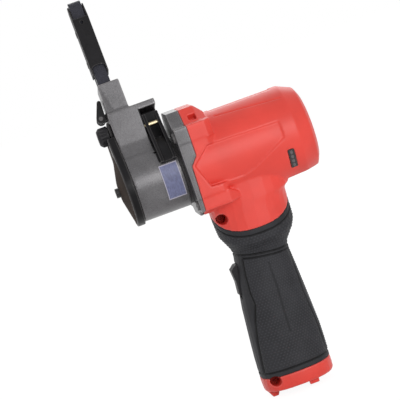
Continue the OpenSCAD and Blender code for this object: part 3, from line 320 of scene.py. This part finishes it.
def painted_edge_highlight(tree, bsdf, lightening):
    """Paints a highlight along outer edges by lightening the finish there."""
    shape = tree.nodes.new("ShaderNodeNewGeometry")
    edge = remap(tree, shape.outputs["Pointiness"], 0, lightening, HIGHLIGHT_STARTS, HIGHLIGHT_FULL)
    tinted(tree, bsdf, edge, EDGE_HIGHLIGHT)


def marked(tree, bsdf, name, colour):
    """Turns the finish to another colour wherever the mesh carries a mark."""
    mark = tree.nodes.new("ShaderNodeAttribute")
    mark.attribute_name = name
    tinted(tree, bsdf, mark.outputs["Fac"], colour)


def seen_rays(tree):
    """1 for what the camera sees, straight, mirrored or through glass, and 0 for other light."""
    rays = tree.nodes.new("ShaderNodeLightPath")
    seen = combine(tree, "MAXIMUM", rays.outputs["Is Camera Ray"], rays.outputs["Is Glossy Ray"])
    return combine(tree, "MAXIMUM", seen, rays.outputs["Is Transmission Ray"])


# Finishes

def moulded(name, colour, roughness, mottle=0.05, specular=0.35, edge_highlight=0.1):
    """Moulded plastic with an even spark-eroded texture and a painted highlight along its edges."""
    material, tree, bsdf = start_material(name, colour, roughness, specular=specular)
    fine = grain(tree, size=0.4 * MM)
    two_tone(tree, bsdf, grain(tree, size=25 * MM), colour, dark=1 - mottle, light=1 + mottle)
    uneven_gloss(tree, bsdf, fine, roughness - 0.05, roughness + 0.06)
    relief(tree, bsdf, fine, depth=0.03 * MM, strength=0.5)
    # Painted highlight along the edges
    painted_edge_highlight(tree, bsdf, edge_highlight)
    return material


# Painted shade in the grips' grooves
GROOVE_SHADE = (0.002, 0.002, 0.002)
# Painted highlight on the dots' tops, as a factor of the grip's colour
DOT_HIGHLIGHT = 2.0


def soft_grip(colour):
    """Matt rubber, with painted shade in the grooves and a painted highlight on the dots."""
    material, tree, bsdf = start_material("grip rubber", colour, 0.6, specular=0.25)
    two_tone(tree, bsdf, grain(tree, size=12 * MM), colour, dark=0.85, light=1.2)
    # Painted shade in the grooves
    marked(tree, bsdf, "sunk", GROOVE_SHADE)
    # Painted highlight on the dots
    marked(tree, bsdf, "dot", shade(colour, DOT_HIGHLIGHT))
    fine = grain(tree, size=0.35 * MM)
    uneven_gloss(tree, bsdf, fine, 0.52, 0.68)
    relief(tree, bsdf, fine, depth=0.03 * MM, strength=0.5)
    return material


def cover_face_reflection(colour):
    """Painted reflection on the side cover's face: a warm dark brown base, nearly without gloss of
    its own.
    """
    material, tree, bsdf = start_material("cover face", colour, 0.7, specular=0.04)
    fine = grain(tree, size=0.7 * MM)
    two_tone(tree, bsdf, grain(tree, size=9 * MM), colour, dark=0.8, light=1.2)
    uneven_gloss(tree, bsdf, fine, 0.62, 0.78)
    relief(tree, bsdf, fine, depth=0.04 * MM, strength=0.5)
    return material


def cast_metal(colour):
    """Tumbled die-cast alloy: fine bright and dark speckle over a soft mottle."""
    material, tree, bsdf = start_material("cast alloy", colour, 0.33, metallic=0.35)
    speckle = grain(tree, size=0.55 * MM, detail=5)
    mottle = layered(tree, speckle, grain(tree, size=14 * MM), share=0.7)
    two_tone(tree, bsdf, mottle, colour, dark=0.62, light=1.35, low=0.36, high=0.66)
    uneven_gloss(tree, bsdf, speckle, 0.27, 0.4)
    relief(tree, bsdf, speckle, depth=0.08 * MM, strength=0.5)
    relief(tree, bsdf, grain(tree, size=4 * MM), depth=0.15 * MM, strength=0.3)
    # Painted highlight along the edges
    painted_edge_highlight(tree, bsdf, lightening=0.25)
    return material


def coated_metal(name, colour, roughness=0.45):
    """Black powder coat with a slight orange peel."""
    material, tree, bsdf = start_material(name, colour, roughness, specular=0.14)
    peel = grain(tree, size=0.9 * MM, detail=2)
    two_tone(tree, bsdf, grain(tree, size=8 * MM), colour, dark=0.8, light=1.3)
    uneven_gloss(tree, bsdf, peel, roughness - 0.08, roughness + 0.1)
    relief(tree, bsdf, peel, depth=0.04 * MM, strength=0.4)
    # Painted highlight along the edges
    painted_edge_highlight(tree, bsdf, lightening=0.12)
    return material


def turned_metal(name, colour, roughness=0.28):
    """Machined metal with fine lines round the drive axis."""
    material, tree, bsdf = start_material(name, colour, roughness, metallic=1.0)
    lines = grain(tree, size=1.2 * MM, detail=2, stretch=(9, 1, 1))
    two_tone(tree, bsdf, lines, colour, dark=0.85, light=1.12)
    uneven_gloss(tree, bsdf, lines, roughness - 0.06, roughness + 0.1)
    relief(tree, bsdf, lines, depth=0.02 * MM, strength=0.3)
    return material


# Wire of the coils: how closely its turns follow each other, and how unevenly they lie
WIRE_SCALE = 600
WIRE_UNEVENNESS = 0.6


def wound_copper(colour):
    """Enamelled wire, with the turns as ridges along the coil."""
    material, tree, bsdf = start_material("wound copper", colour, 0.3, metallic=0.8)
    wave = tree.nodes.new("ShaderNodeTexWave")
    wave.bands_direction = "DIAGONAL"
    wave.inputs["Scale"].default_value = WIRE_SCALE
    wave.inputs["Distortion"].default_value = WIRE_UNEVENNESS
    tree.links.new(object_space(tree), wave.inputs["Vector"])
    two_tone(tree, bsdf, wave.outputs["Fac"], colour, dark=0.5, light=1.2)
    relief(tree, bsdf, wave.outputs["Fac"], depth=0.3 * MM)
    return material


def grit(colour):
    """Abrasive grain on cloth: dark, sharp and slightly glinting."""
    material, tree, bsdf = start_material("belt grit", colour, 0.65, specular=0.25)
    fine = cells(tree, size=0.45 * MM)
    two_tone(tree, bsdf, fine, colour, dark=0.4, light=2.2, low=0.15, high=0.75)
    uneven_gloss(tree, bsdf, fine, 0.4, 0.8)
    relief(tree, bsdf, fine, depth=0.15 * MM)
    return material


# The foil's border: its colour, and its width as a share of the plate along each axis
FOIL_BORDER = (0.42, 0.4, 0.48)
FOIL_BORDER_WIDTHS = {"X": 0.04, "Z": 0.026}


def lilac_foil(colour):
    """Plain satin foil with a pale border and a fine brushed speckle."""
    material, tree, bsdf = start_material("lilac foil", colour, 0.4, specular=0.35)
    place = tree.nodes.new("ShaderNodeTexCoord")
    split = tree.nodes.new("ShaderNodeSeparateXYZ")
    tree.links.new(place.outputs["Generated"], split.inputs["Vector"])
    edges = []
    for axis, width in FOIL_BORDER_WIDTHS.items():
        off_centre = combine(tree, "SUBTRACT", split.outputs[axis], 0.5)
        off_centre = combine(tree, "ABSOLUTE", off_centre, 0)
        edges.append(combine(tree, "GREATER_THAN", off_centre, 0.5 - width))
    brushed = grain(tree, size=0.9 * MM, detail=4, stretch=(1, 1, 0.35))
    tone = layered(tree, brushed, grain(tree, size=9 * MM), share=0.7)
    two_tone(tree, bsdf, tone, colour, dark=0.8, light=1.3)
    tinted(tree, bsdf, combine(tree, "MAXIMUM", *edges), FOIL_BORDER)
    uneven_gloss(tree, bsdf, brushed, 0.34, 0.48)
    relief(tree, bsdf, brushed, depth=0.02 * MM, strength=0.4)
    return material


def smoked_lens(colour):
    """Dark glossy window over the charge lights."""
    material, tree, bsdf = start_material("smoked lens", colour, 0.14, specular=0.55)
    two_tone(tree, bsdf, grain(tree, size=3 * MM), colour, dark=0.7, light=1.4)
    return material


def unlit_light(colour):
    """Small clear light, switched off."""
    material, tree, bsdf = start_material("unlit light", colour, 0.25)
    two_tone(tree, bsdf, grain(tree, size=0.8 * MM), colour, dark=0.8, light=1.2)
    return material


def circuit_board(colour):
    """Green solder mask with faint tracks."""
    material, tree, bsdf = start_material("circuit board", colour, 0.35)
    tracks = cells(tree, size=2.5 * MM)
    two_tone(tree, bsdf, tracks, colour, dark=0.7, light=1.5, low=0.2, high=0.3)
    return material


MATERIALS = {}


def make_materials(colours):
    red, black = tuple(colours.shell), tuple(colours.black)
    MATERIALS.update({
        "housing_red": moulded("shell red", red, 0.4),
        "grip_rubber": soft_grip(tuple(colours.grip)),
        "cast_grey": cast_metal(tuple(colours.cast)),
        "screw_black": coated_metal("black oxide", shade(black, 1.1), 0.33),
        # Black plastic with a fainter painted highlight along its edges
        "black_plastic": moulded("black plastic", shade(black, 2), 0.5, specular=0.2, edge_highlight=0.05),
        "black_metal": coated_metal("black coat", black),
        "cover_rim": coated_metal("cover rim", black, 0.34),
        # Painted reflection for the side cover's face
        "cover_face_reflection": cover_face_reflection(tuple(colours.cover)),
        "steel": turned_metal("ground steel", (0.5, 0.5, 0.51)),
        "dark_steel": turned_metal("dark steel", (0.06, 0.06, 0.065), 0.36),
        # Dark red for the housing screws: painted shade of the red pockets they sit in
        "pocket_shade_red": turned_metal("bronzed steel", (0.15, 0.014, 0.011), 0.42),
        "brass": turned_metal("brass", (0.55, 0.46, 0.3)),
        "copper": wound_copper((0.45, 0.16, 0.05)),
        "board_green": circuit_board((0.012, 0.11, 0.04)),
        "lens_dark": smoked_lens((0.018, 0.012, 0.013)),
        "unlit": unlit_light((0.1, 0.088, 0.092)),
        "foil": lilac_foil(tuple(colours.foil)),
        "tyre": moulded("tyre rubber", (0.03, 0.03, 0.03), 0.7, mottle=0.2),
        "belt": grit(tuple(colours.belt)),
    })


# Mesh building blocks

WELD = 0.001 * MM

# Smoothing rounds that give each softened node the radius of its edges
SOFT_ROUNDS = {
    "right_housing": 4, "left_housing": 4, "right_grip": 4, "left_grip": 4, "trigger": 6,
    "gearcase": 5, "charge_gauge": 8, "head_casting": 5, "side_cover": 6, "tracking_knob": 3,
    "clamp_lever": 6, "lock_lever": 6, "arm_channel": 4,
}


def paint(piece, material):
    if piece.data.materials:
        for slot in piece.material_slots:
            slot.material = material
    else:
        piece.data.materials.append(material)


def paint_nodes(*names, finish=None):
    for name in names:
        paint(NODES[name], MATERIALS[finish or SLOTS[name]])


def add_object(name, data):
    piece = bpy.data.objects.new(name, data)
    bpy.context.scene.collection.objects.link(piece)
    return piece


def shade_smooth(mesh):
    mesh.polygons.foreach_set("use_smooth", np.ones(len(mesh.polygons), bool))


def evaluated_mesh(piece):
    bpy.context.view_layer.update()
    graph = bpy.context.evaluated_depsgraph_get()
    return bpy.data.meshes.new_from_object(piece.evaluated_get(graph))


def welded_copy(node):
    mesh = NODES[node].data.copy()
    solid = bmesh.new()
    solid.from_mesh(mesh)
    bmesh.ops.remove_doubles(solid, verts=solid.verts, dist=WELD)
    solid.to_mesh(mesh)
    solid.free()
    return mesh


def softened(node, cell, finish=None, turned=False):
    """A copy of a node with soft, moulded edges, which stands for the node.

    The cells lie along the head's own axes where turned is true.
    """
    mesh = welded_copy(node)
    if turned:
        mesh.transform(HEAD_FRAME.inverted())
    piece = add_object("soft_" + node, mesh)
    skin = piece.modifiers.new("skin", "REMESH")
    skin.mode = "VOXEL"
    skin.voxel_size = cell
    edges = piece.modifiers.new("soft edges", "SMOOTH")
    edges.factor = 0.5
    edges.iterations = SOFT_ROUNDS[node]
    smooth = evaluated_mesh(piece)
    piece.modifiers.clear()
    piece.data = smooth
    if turned:
        smooth.transform(HEAD_FRAME)
    smooth.materials.clear()
    shade_smooth(smooth)
    paint(piece, MATERIALS[finish or SLOTS[node]])
    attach(piece, NODES[node]["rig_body"])
    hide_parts(node)
    return piece


def vectors(items, key):
    values = np.zeros(len(items) * 3)
    items.foreach_get(key, values)
    return values.reshape(-1, 3)


def points_and_normals(mesh):
    return vectors(mesh.vertices, "co"), vectors(mesh.vertex_normals, "vector")


def push(mesh, points, out, shift):
    """Moves each point along its normal by its own shift."""
    mesh.vertices.foreach_set("co", (points + out * shift[:, None]).ravel())
    mesh.update()


def mark_points(mesh, name, values):
    marks = mesh.attributes.new(name, "FLOAT", "POINT")
    marks.data.foreach_set("value", np.asarray(values, np.float32))


def distance_to_line(points, line):
    """Least distance of flat points to a chain of straight lines."""
    best = np.full(len(points), np.inf)
    for start, end in zip(line[:-1], line[1:]):
        a, b = np.array(start), np.array(end)
        run = b - a
        along = np.clip(((points - a) @ run) / (run @ run), 0, 1)
        best = np.minimum(best, np.linalg.norm(points - a - along[:, None] * run, axis=1))
    return best


def groove(distance, half_width):
    """Round section of a groove: 1 along its middle, 0 from its edges on."""
    return np.clip(1 - (distance / half_width) ** 2, 0, 1)


# Grips, in millimetres. The middle of the handle and its round, for the dots
GRIP_MIDDLE = 4
GRIP_ROUND = 22
# The top edge with its dip, the rim's groove below it, and the flare's lower edge
TOP_EDGE, TOP_DIP, TOP_HALF, TOP_POWER, RIM_DROP = 128.5, 14.1, 27.6, 1.25, 4.4
FLARE_Z, FLARE_X, FLARE_SLOPE, FLARE_DIP, FLARE_HALF = 97.2, 2, 0.14, 1.4, 20
# The dotted panel: its top line, its foot line, and the lines down its sides and middle in (x, z)
PANEL_DROP, PANEL_ENDS = 2.4, (-12, 21)
FOOT_LINE_Z = 13.7
FRONT_LINE = [
    (-12.3, 95), (-14.1, 84), (-15.2, 71), (-14.8, 63),
    (-18.6, 50.5), (-21.5, 36), (-23.4, 20.5), (-23.8, 15),
]
REAR_LINE = [(21.6, 93), (21.1, 77), (20.8, 60), (22.6, 38), (23, 15)]
MIDDLE_LINE = [(4, 87.5), (3.8, 70), (2.6, 53), (2.1, 38)]
# Shares of the full depth for the shallow lines
REAR_DEPTH, MIDDLE_DEPTH = 0.6, 0.35
# The dots keep this far off the lines, and off every point that is sunk by more than a trace
DOT_MARGIN = 1
TRACE = 0.02
DOT_TURNS = (math.pi / 6, math.pi / 2, 5 * math.pi / 6)


def carve_grip(piece, sizes):
    """Sinks the grooves into a grip's outer face and raises its field of dots."""
    mesh = piece.data
    points, out = points_and_normals(mesh)
    x, y, z = (points / MM).T
    outside = out[:, 0] * (x - GRIP_MIDDLE) + out[:, 1] * y > 0
    rim = TOP_EDGE - TOP_DIP * np.minimum(np.abs(y) / TOP_HALF, 1) ** TOP_POWER - RIM_DROP
    flare = FLARE_Z - FLARE_SLOPE * (x - FLARE_X) - FLARE_DIP * (y / FLARE_HALF) ** 2
    panel_top = flare - PANEL_DROP
    flat = np.stack((x, z), axis=1)
    width = sizes.groove_width / MM
    on_panel = (x > PANEL_ENDS[0]) & (x < PANEL_ENDS[1])
    lines = (
        (1, np.abs(z - rim)),
        (1, np.abs(z - flare)),
        (1, np.where(on_panel, np.abs(z - panel_top), width)),
        (1, np.abs(z - FOOT_LINE_Z)),
        (1, distance_to_line(flat, FRONT_LINE)),
        (REAR_DEPTH, distance_to_line(flat, REAR_LINE)),
        (MIDDLE_DEPTH, distance_to_line(flat, MIDDLE_LINE)),
    )
    sunk = np.maximum.reduce([share * groove(distance, width) for share, distance in lines])
    front_x, front_z = zip(*reversed(FRONT_LINE))
    behind_front = x > np.interp(z, front_z, front_x) + DOT_MARGIN
    field = behind_front & (z < panel_top - DOT_MARGIN) & (z > FOOT_LINE_Z + DOT_MARGIN)
    collar = (z > flare + DOT_MARGIN) & (z < rim - DOT_MARGIN)
    around = np.arctan2(y, x - GRIP_MIDDLE) * GRIP_ROUND
    row = sizes.dot_pitch / MM * math.sin(math.pi / 3)
    waves = [np.cos(2 * np.pi * (around * np.cos(turn) + z * np.sin(turn)) / row)
             for turn in DOT_TURNS]
    dots = np.clip(sum(waves) / len(waves), 0, 1) * ((field | collar) & (sunk < TRACE))
    shift = dots * sizes.dot_height - sunk * sizes.groove_depth
    push(mesh, points, out, shift * outside)
    # This mark also carries the painted shade of the grooves
    mark_points(mesh, "sunk", sunk * outside)
    # This mark also carries the painted highlight on the dots
    mark_points(mesh, "dot", dots * outside)


# The crease along each side of the barrel's top: its ends, in millimetres, its angle from the
# upright at each, and the least radius of the barrel's outer skin
CREASE_X = (2, 49)
CREASE_ANGLE = (math.radians(29), math.radians(39))
SKIN_RADIUS = 32.3


def carve_barrel(piece, sizes):
    """Sinks the crease below the top panel into a shell's barrel."""
    mesh = piece.data
    points, out = points_and_normals(mesh)
    x, y, z = ((points - np.array((0, 0, DRIVE.z))) / MM).T
    radius = np.hypot(y, z)
    angle = np.arctan2(np.abs(y), z)
    distance = np.abs(angle - np.interp(x, CREASE_X, CREASE_ANGLE)) * radius
    on_skin = (radius > SKIN_RADIUS) & (x > CREASE_X[0]) & (x < CREASE_X[1])
    sunk = groove(distance, sizes.crease_width / MM) * on_skin
    push(mesh, points, out, -sunk * sizes.crease_depth)


# In the head's own axes: the face of the cover and of its tab, inside the rim, which carries the
# painted reflection, and the room behind the clamp lever, whose faces are painted black
COVER_STEP = 4.1 * MM
COVER_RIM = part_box("side_cover")[0].x + COVER_STEP
COVER_FACE = 25.2 * MM
TAB_HALF, TAB_TOP = 8 * MM, 44 * MM
RECESS_LOW = Vector((-44.6, -24.2, 6)) * MM
RECESS_HIGH = Vector((-32.2, 5, 48.4)) * MM

# In the body's axes: the lined slot that the trigger runs in
TRIGGER_LOW, TRIGGER_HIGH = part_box("trigger")
SLOT_REACH = Vector((3, 3, 3)) * MM
SLOT_LOW, SLOT_HIGH = TRIGGER_LOW - SLOT_REACH, TRIGGER_HIGH + SLOT_REACH


def within(place, lowest, highest):
    return all(low < value < high for low, value, high in zip(lowest, place, highest))


def on_cover_face(place):
    on_disc = math.hypot(place.y, place.z) < COVER_FACE
    on_tab = abs(place.y) < TAB_HALF and 0 < place.z < TAB_TOP
    return place.x < COVER_RIM and (on_disc or on_tab)


def in_lever_recess(place):
    return within(place, RECESS_LOW, RECESS_HIGH)


def in_trigger_slot(place):
    return within(place, SLOT_LOW, SLOT_HIGH)


def paint_zone(piece, inside, finish, axes=HEAD_FRAME):
    """Gives the faces of one zone a finish of their own; the zone is told in the given axes."""
    mesh = piece.data
    mesh.materials.append(MATERIALS[finish])
    inward = axes.inverted()
    zone = [inside(inward @ face.center) for face in mesh.polygons]
    mesh.polygons.foreach_set("material_index", np.array(zone, np.int32))


# The stretch above the drive axis over which the belt passes from head to arm, and its cuts
BELT_SPAN = (18 * MM, 118 * MM)
BELT_CUTS = 18


def belt_loop():
    """A copy of the belt cut into short lengths."""
    mesh = welded_copy("abrasive_belt")
    solid = bmesh.new()
    solid.from_mesh(mesh)
    low, high = BELT_SPAN
    for step in range(BELT_CUTS):
        place = DRIVE + HEAD_UP * (low + (high - low) * step / (BELT_CUTS - 1))
        whole = solid.verts[:] + solid.edges[:] + solid.faces[:]
        bmesh.ops.bisect_plane(solid, geom=whole, plane_co=place, plane_no=HEAD_UP)
    solid.to_mesh(mesh)
    solid.free()
    mesh.materials.clear()
    piece = add_object("belt_loop", mesh)
    paint(piece, MATERIALS["belt"])
    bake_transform(piece)
    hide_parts("abrasive_belt")


def pressed_spring():
    """A copy of the arm's spring, which rides on the head."""
    mesh = welded_copy("arm_spring")
    mesh.materials.clear()
    piece = add_object("pressed_spring", mesh)
    paint(piece, MATERIALS[SLOTS["arm_spring"]])
    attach(piece, "head")
    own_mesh(piece)
    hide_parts("arm_spring")


# Lights of the gauge: their number, the first one's place and the step to the next as shares of
# the window's height, their round with its stretch across the window's face and outwards, and the
# points round each ring and the steps from pole to pole
LIGHTS = 4
LIGHT_FIRST, LIGHT_STEP = 0.17, 0.22
LIGHT_RADIUS = 1.0 * MM
LIGHT_STRETCH = (1.5, 1.2, 0.25, 1)
LIGHT_SIDES, LIGHT_STEPS = 16, 8


def add_light(points, faces, place):
    """Adds one flat round light: its front and back poles, and the rings between them.

    The points are listed one by one, because Blender's own sphere orders them anew in each run.
    """
    front, back = len(points), len(points) + 1
    local = [Vector((0, 0, 1)), Vector((0, 0, -1))]
    rings = []
    for step in range(1, LIGHT_STEPS):
        fall = math.pi * step / LIGHT_STEPS
        rings.append([len(points) + len(local) + side for side in range(LIGHT_SIDES)])
        for side in range(LIGHT_SIDES):
            turn = 2 * math.pi * side / LIGHT_SIDES
            across = Vector((math.cos(turn), math.sin(turn), 0)) * math.sin(fall)
            local.append(across + Vector((0, 0, math.cos(fall))))
    points += [place @ (point * LIGHT_RADIUS) for point in local]
    for side in range(LIGHT_SIDES):
        after = (side + 1) % LIGHT_SIDES
        faces.append((front, rings[0][side], rings[0][after]))
        for upper, lower in zip(rings[:-1], rings[1:]):
            faces.append((upper[side], lower[side], lower[after], upper[after]))
        faces.append((back, rings[-1][after], rings[-1][side]))


def gauge_lights():
    """Flat round lights in the gauge's window, which follows the barrel's round."""
    low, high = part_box("charge_gauge")
    middle = (low.x + high.x) / 2
    radius = math.hypot(low.y, high.z - DRIVE.z)
    first = math.asin((low.z - DRIVE.z) / radius)
    last = math.asin((high.z - DRIVE.z) / radius)
    points, faces = [], []
    for step in range(LIGHTS):
        angle = first + (last - first) * (LIGHT_FIRST + LIGHT_STEP * step)
        out = Vector((0, -math.cos(angle), math.sin(angle)))
        spot = Vector((middle, 0, DRIVE.z)) + out * radius
        facing = out.to_track_quat("Z", "X").to_matrix().to_4x4()
        add_light(points, faces, Matrix.Translation(spot) @ facing @ Matrix.Diagonal(LIGHT_STRETCH))
    mesh = bpy.data.meshes.new("gauge_lights")
    mesh.from_pydata(points, [], faces)
    shade_smooth(mesh)
    piece = add_object("gauge_lights", mesh)
    paint(piece, MATERIALS["unlit"])
    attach(piece, "body")


# Stage

# The picture's width in pixels, the camera's sensor in millimetres and its reach in metres
PICTURE = 400
SENSOR = 36.0
CAMERA_REACH = 20

# The floor: half its width, its own grey, its white for the camera, and the white's share, which
# leaves the rest to the object's shadow
FLOOR_HALF = 4.0
FLOOR_GREY = (0.9, 0.9, 0.9)
FLOOR_WHITE = 1.1
FLOOR_WHITE_SHARE = 0.85

# Light of the room on the object, and the lamps: where each stands, its width and its power
ROOM_LIGHT = 0.5
LAMP_AIM = Vector((0, 0, 0.16))
LAMPS = {
    "key": ((0.3, -1.2, 0.45), 0.6, 7.1),
    "fill": ((-1.0, -0.6, 0.5), 0.9, 1),
    "back": ((0.2, 0.9, 0.8), 0.8, 3.5),
}


def pale_surface():
    """Nearly white for the camera, with a share of the object's shadow kept."""
    material, tree, bsdf = start_material("pale floor", FLOOR_GREY, 0.9)
    glow = tree.nodes.new("ShaderNodeEmission")
    glow.inputs["Color"].default_value = (1, 1, 1, 1)
    glow.inputs["Strength"].default_value = FLOOR_WHITE
    share = combine(tree, "MULTIPLY", seen_rays(tree), FLOOR_WHITE_SHARE)
    mix = tree.nodes.new("ShaderNodeMixShader")
    tree.links.new(share, mix.inputs["Fac"])
    tree.links.new(bsdf.outputs["BSDF"], mix.inputs[1])
    tree.links.new(glow.outputs["Emission"], mix.inputs[2])
    tree.links.new(mix.outputs["Shader"], tree.nodes["Material Output"].inputs["Surface"])
    return material


def pale_floor():
    half, level = FLOOR_HALF, CAD_BOX[0][2]
    corners = [(-half, -half), (half, -half), (half, half), (-half, half)]
    mesh = bpy.data.meshes.new("floor")
    mesh.from_pydata([(x, y, level) for x, y in corners], [], [(0, 1, 2, 3)])
    piece = add_object("floor", mesh)
    paint(piece, pale_surface())


def soft_lamp(name, spot, width, power):
    lamp = bpy.data.lights.new(name, "AREA")
    lamp.size = width
    lamp.energy = power
    piece = add_object(name, lamp)
    piece.location = spot
    piece.rotation_euler = (LAMP_AIM - Vector(spot)).to_track_quat("-Z", "Y").to_euler()


def white_world(scene):
    """White wherever the camera sees it, and dimmer as light on the object."""
    world = bpy.data.worlds.new("white room")
    world.use_nodes = True
    tree = world.node_tree
    back = tree.nodes["Background"]
    back.inputs["Color"].default_value = (1, 1, 1, 1)
    extra = combine(tree, "MULTIPLY", seen_rays(tree), 1 - ROOM_LIGHT)
    tree.links.new(combine(tree, "ADD", extra, ROOM_LIGHT), back.inputs["Strength"])
    scene.world = world


def photo_camera(scene):
    """The camera at the photograph's angle, with the aim point at its pixel."""
    view = scene.band_file_view
    back = Vector((
        math.sin(view.turn) * math.cos(view.rise),
        -math.cos(view.turn) * math.cos(view.rise),
        math.sin(view.rise)))
    level = Vector((math.cos(view.turn), math.sin(view.turn), 0))
    upright = back.cross(level)
    right = level * math.cos(view.roll) + upright * math.sin(view.roll)
    up = upright * math.cos(view.roll) - level * math.sin(view.roll)
    off_right = (PICTURE / 2 - view.aim_pixel[0]) / view.pixels_per_metre
    off_up = (view.aim_pixel[1] - PICTURE / 2) / view.pixels_per_metre
    aim = Vector((0, 0, view.aim_height)) + right * off_right + up * off_up
    lens = bpy.data.cameras.new("camera")
    lens.sensor_width = SENSOR
    lens.lens = view.pixels_per_metre * view.distance * SENSOR / PICTURE
    lens.clip_end = CAMERA_REACH
    piece = add_object("camera", lens)
    turn = Matrix((right, up, back)).transposed().to_4x4()
    piece.matrix_world = Matrix.Translation(aim + back * view.distance) @ turn
    scene.camera = piece


# Operators

class BANDFILE_OT_finishes(bpy.types.Operator):
    """Make every finish"""
    bl_idname = "bandfile.finishes"
    bl_label = "Finishes"

    def execute(self, context):
        make_materials(context.scene.band_file_colours)
        return {"FINISHED"}


class BANDFILE_OT_stage(bpy.types.Operator):
    """Set up the floor, the white room, the lamps and the camera"""
    bl_idname = "bandfile.stage"
    bl_label = "Stage"

    def execute(self, context):
        scene = context.scene
        pale_floor()
        white_world(scene)
        for name, (spot, width, power) in LAMPS.items():
            soft_lamp(name, spot, width, power)
        photo_camera(scene)
        scene.view_settings.view_transform = "Standard"
        return {"FINISHED"}


class BANDFILE_OT_shells(bpy.types.Operator):
    """Soften the two red shells, sink their creases, and paint the trigger's slot and the screws"""
    bl_idname = "bandfile.shells"
    bl_label = "Shells"

    def execute(self, context):
        sizes = context.scene.band_file_sizes
        for node in ("right_housing", "left_housing"):
            piece = softened(node, sizes.shell_cell)
            carve_barrel(piece, sizes)
            paint_zone(piece, in_trigger_slot, "black_plastic", Matrix())
        # The screws get the dark red painted shade of their pockets
        paint_nodes("housing_screws", finish="pocket_shade_red")
        return {"FINISHED"}


class BANDFILE_OT_grips(bpy.types.Operator):
    """Soften the grips, sink their grooves and raise the dotted field"""
    bl_idname = "bandfile.grips"
    bl_label = "Grips"

    def execute(self, context):
        sizes = context.scene.band_file_sizes
        for node in ("right_grip", "left_grip"):
            carve_grip(softened(node, sizes.grip_cell), sizes)
        return {"FINISHED"}


class BANDFILE_OT_trigger(bpy.types.Operator):
    """Soften and paint the trigger"""
    bl_idname = "bandfile.trigger"
    bl_label = "Trigger"

    def execute(self, context):
        softened("trigger", context.scene.band_file_sizes.small_cell)
        return {"FINISHED"}


class BANDFILE_OT_gearcase(bpy.types.Operator):
    """Soften the gearcase and paint its screws and washer"""
    bl_idname = "bandfile.gearcase"
    bl_label = "Gearcase"

    def execute(self, context):
        softened("gearcase", context.scene.band_file_sizes.cast_cell)
        paint_nodes("gearcase_screws", "swivel_washer")
        return {"FINISHED"}


class BANDFILE_OT_gauge(bpy.types.Operator):
    """Soften the gauge's window and set four small lights in it"""
    bl_idname = "bandfile.gauge"
    bl_label = "Gauge"

    def execute(self, context):
        softened("charge_gauge", context.scene.band_file_sizes.gauge_cell)
        gauge_lights()
        return {"FINISHED"}


class BANDFILE_OT_head(bpy.types.Operator):
    """Soften the head casting, its cover and the tracking knob"""
    bl_idname = "bandfile.head"
    bl_label = "Head"

    def execute(self, context):
        sizes = context.scene.band_file_sizes
        casting = softened("head_casting", sizes.cast_cell, turned=True)
        # The casting's faces in the room behind the clamp lever and under its lip are painted black
        paint_zone(casting, in_lever_recess, "black_plastic")
        cover = softened("side_cover", sizes.cast_cell, "cover_rim", turned=True)
        # The cover's face gets the painted reflection
        paint_zone(cover, on_cover_face, "cover_face_reflection")
        softened("tracking_knob", sizes.small_cell, turned=True)
        paint_nodes("spindle_screw")
        return {"FINISHED"}


class BANDFILE_OT_levers(bpy.types.Operator):
    """Soften the clamp and lock levers and paint their pins and the foil"""
    bl_idname = "bandfile.levers"
    bl_label = "Levers"

    def execute(self, context):
        for node in ("clamp_lever", "lock_lever"):
            softened(node, context.scene.band_file_sizes.small_cell, turned=True)
        paint_nodes("clamp_pin", "foil_plate")
        paint_nodes("lock_pin", finish="screw_black")
        return {"FINISHED"}


class BANDFILE_OT_arm(bpy.types.Operator):
    """Soften the arm channel, make the belt and the spring, and paint the rest of the arm"""
    bl_idname = "bandfile.arm"
    bl_label = "Arm"

    def execute(self, context):
        softened("arm_channel", context.scene.band_file_sizes.thin_cell, turned=True)
        belt_loop()
        pressed_spring()
        paint_nodes("arm_bar", "nose_roller")
        paint_nodes("arm_rivets", "nose_axle", finish="screw_black")
        return {"FINISHED"}


class BANDFILE_OT_inside(bpy.types.Operator):
    """Paint the motor, gears, bearings and electrics"""
    bl_idname = "bandfile.inside"
    bl_label = "Inside"

    def execute(self, context):
        paint_nodes(
            "ring_gear", "motor_plate", "front_motor_bearing", "rear_motor_bearing", "stator_core",
            "stator_windings", "front_spindle_bearing", "rear_spindle_bearing", "switch_module",
            "control_board", "terminal_block", "spindle", "drive_wheel", "wheel_tyre",
            "rotor_core", "rotor_shaft", "motor_pinion", "fan", "planet_gear_a", "planet_gear_b",
            "planet_gear_c")
        return {"FINISHED"}


# Registration

STEPS = (
    BANDFILE_OT_finishes, BANDFILE_OT_stage, BANDFILE_OT_shells, BANDFILE_OT_grips,
    BANDFILE_OT_trigger, BANDFILE_OT_gearcase, BANDFILE_OT_gauge, BANDFILE_OT_head,
    BANDFILE_OT_levers, BANDFILE_OT_arm, BANDFILE_OT_inside,
)

GROUPS = {
    "band_file_colours": BandFileColours,
    "band_file_sizes": BandFileSizes,
    "band_file_view": BandFileView,
}


class BANDFILE_PT_panel(bpy.types.Panel):
    """Sidebar list of the steps and settings"""
    bl_idname = "BANDFILE_PT_panel"
    bl_label = "Band File"
    bl_space_type = "VIEW_3D"
    bl_region_type = "UI"
    bl_category = "Band File"

    def draw(self, context):
        for step in STEPS:
            self.layout.operator(step.bl_idname)
        for group, kind in GROUPS.items():
            settings = getattr(context.scene, group)
            for name in kind.__annotations__:
                self.layout.prop(settings, name)


def register():
    for kind in (*GROUPS.values(), *STEPS, BANDFILE_PT_panel):
        bpy.utils.register_class(kind)
    for name, kind in GROUPS.items():
        setattr(bpy.types.Scene, name, bpy.props.PointerProperty(type=kind))


def unregister():
    for name in GROUPS:
        delattr(bpy.types.Scene, name)
    for kind in (BANDFILE_PT_panel, *reversed(STEPS), *GROUPS.values()):
        bpy.utils.unregister_class(kind)


def main():
    register()
    for step in STEPS:
        group, name = step.bl_idname.split(".")
        getattr(getattr(bpy.ops, group), name)()


if __name__ == "__main__":
    main()
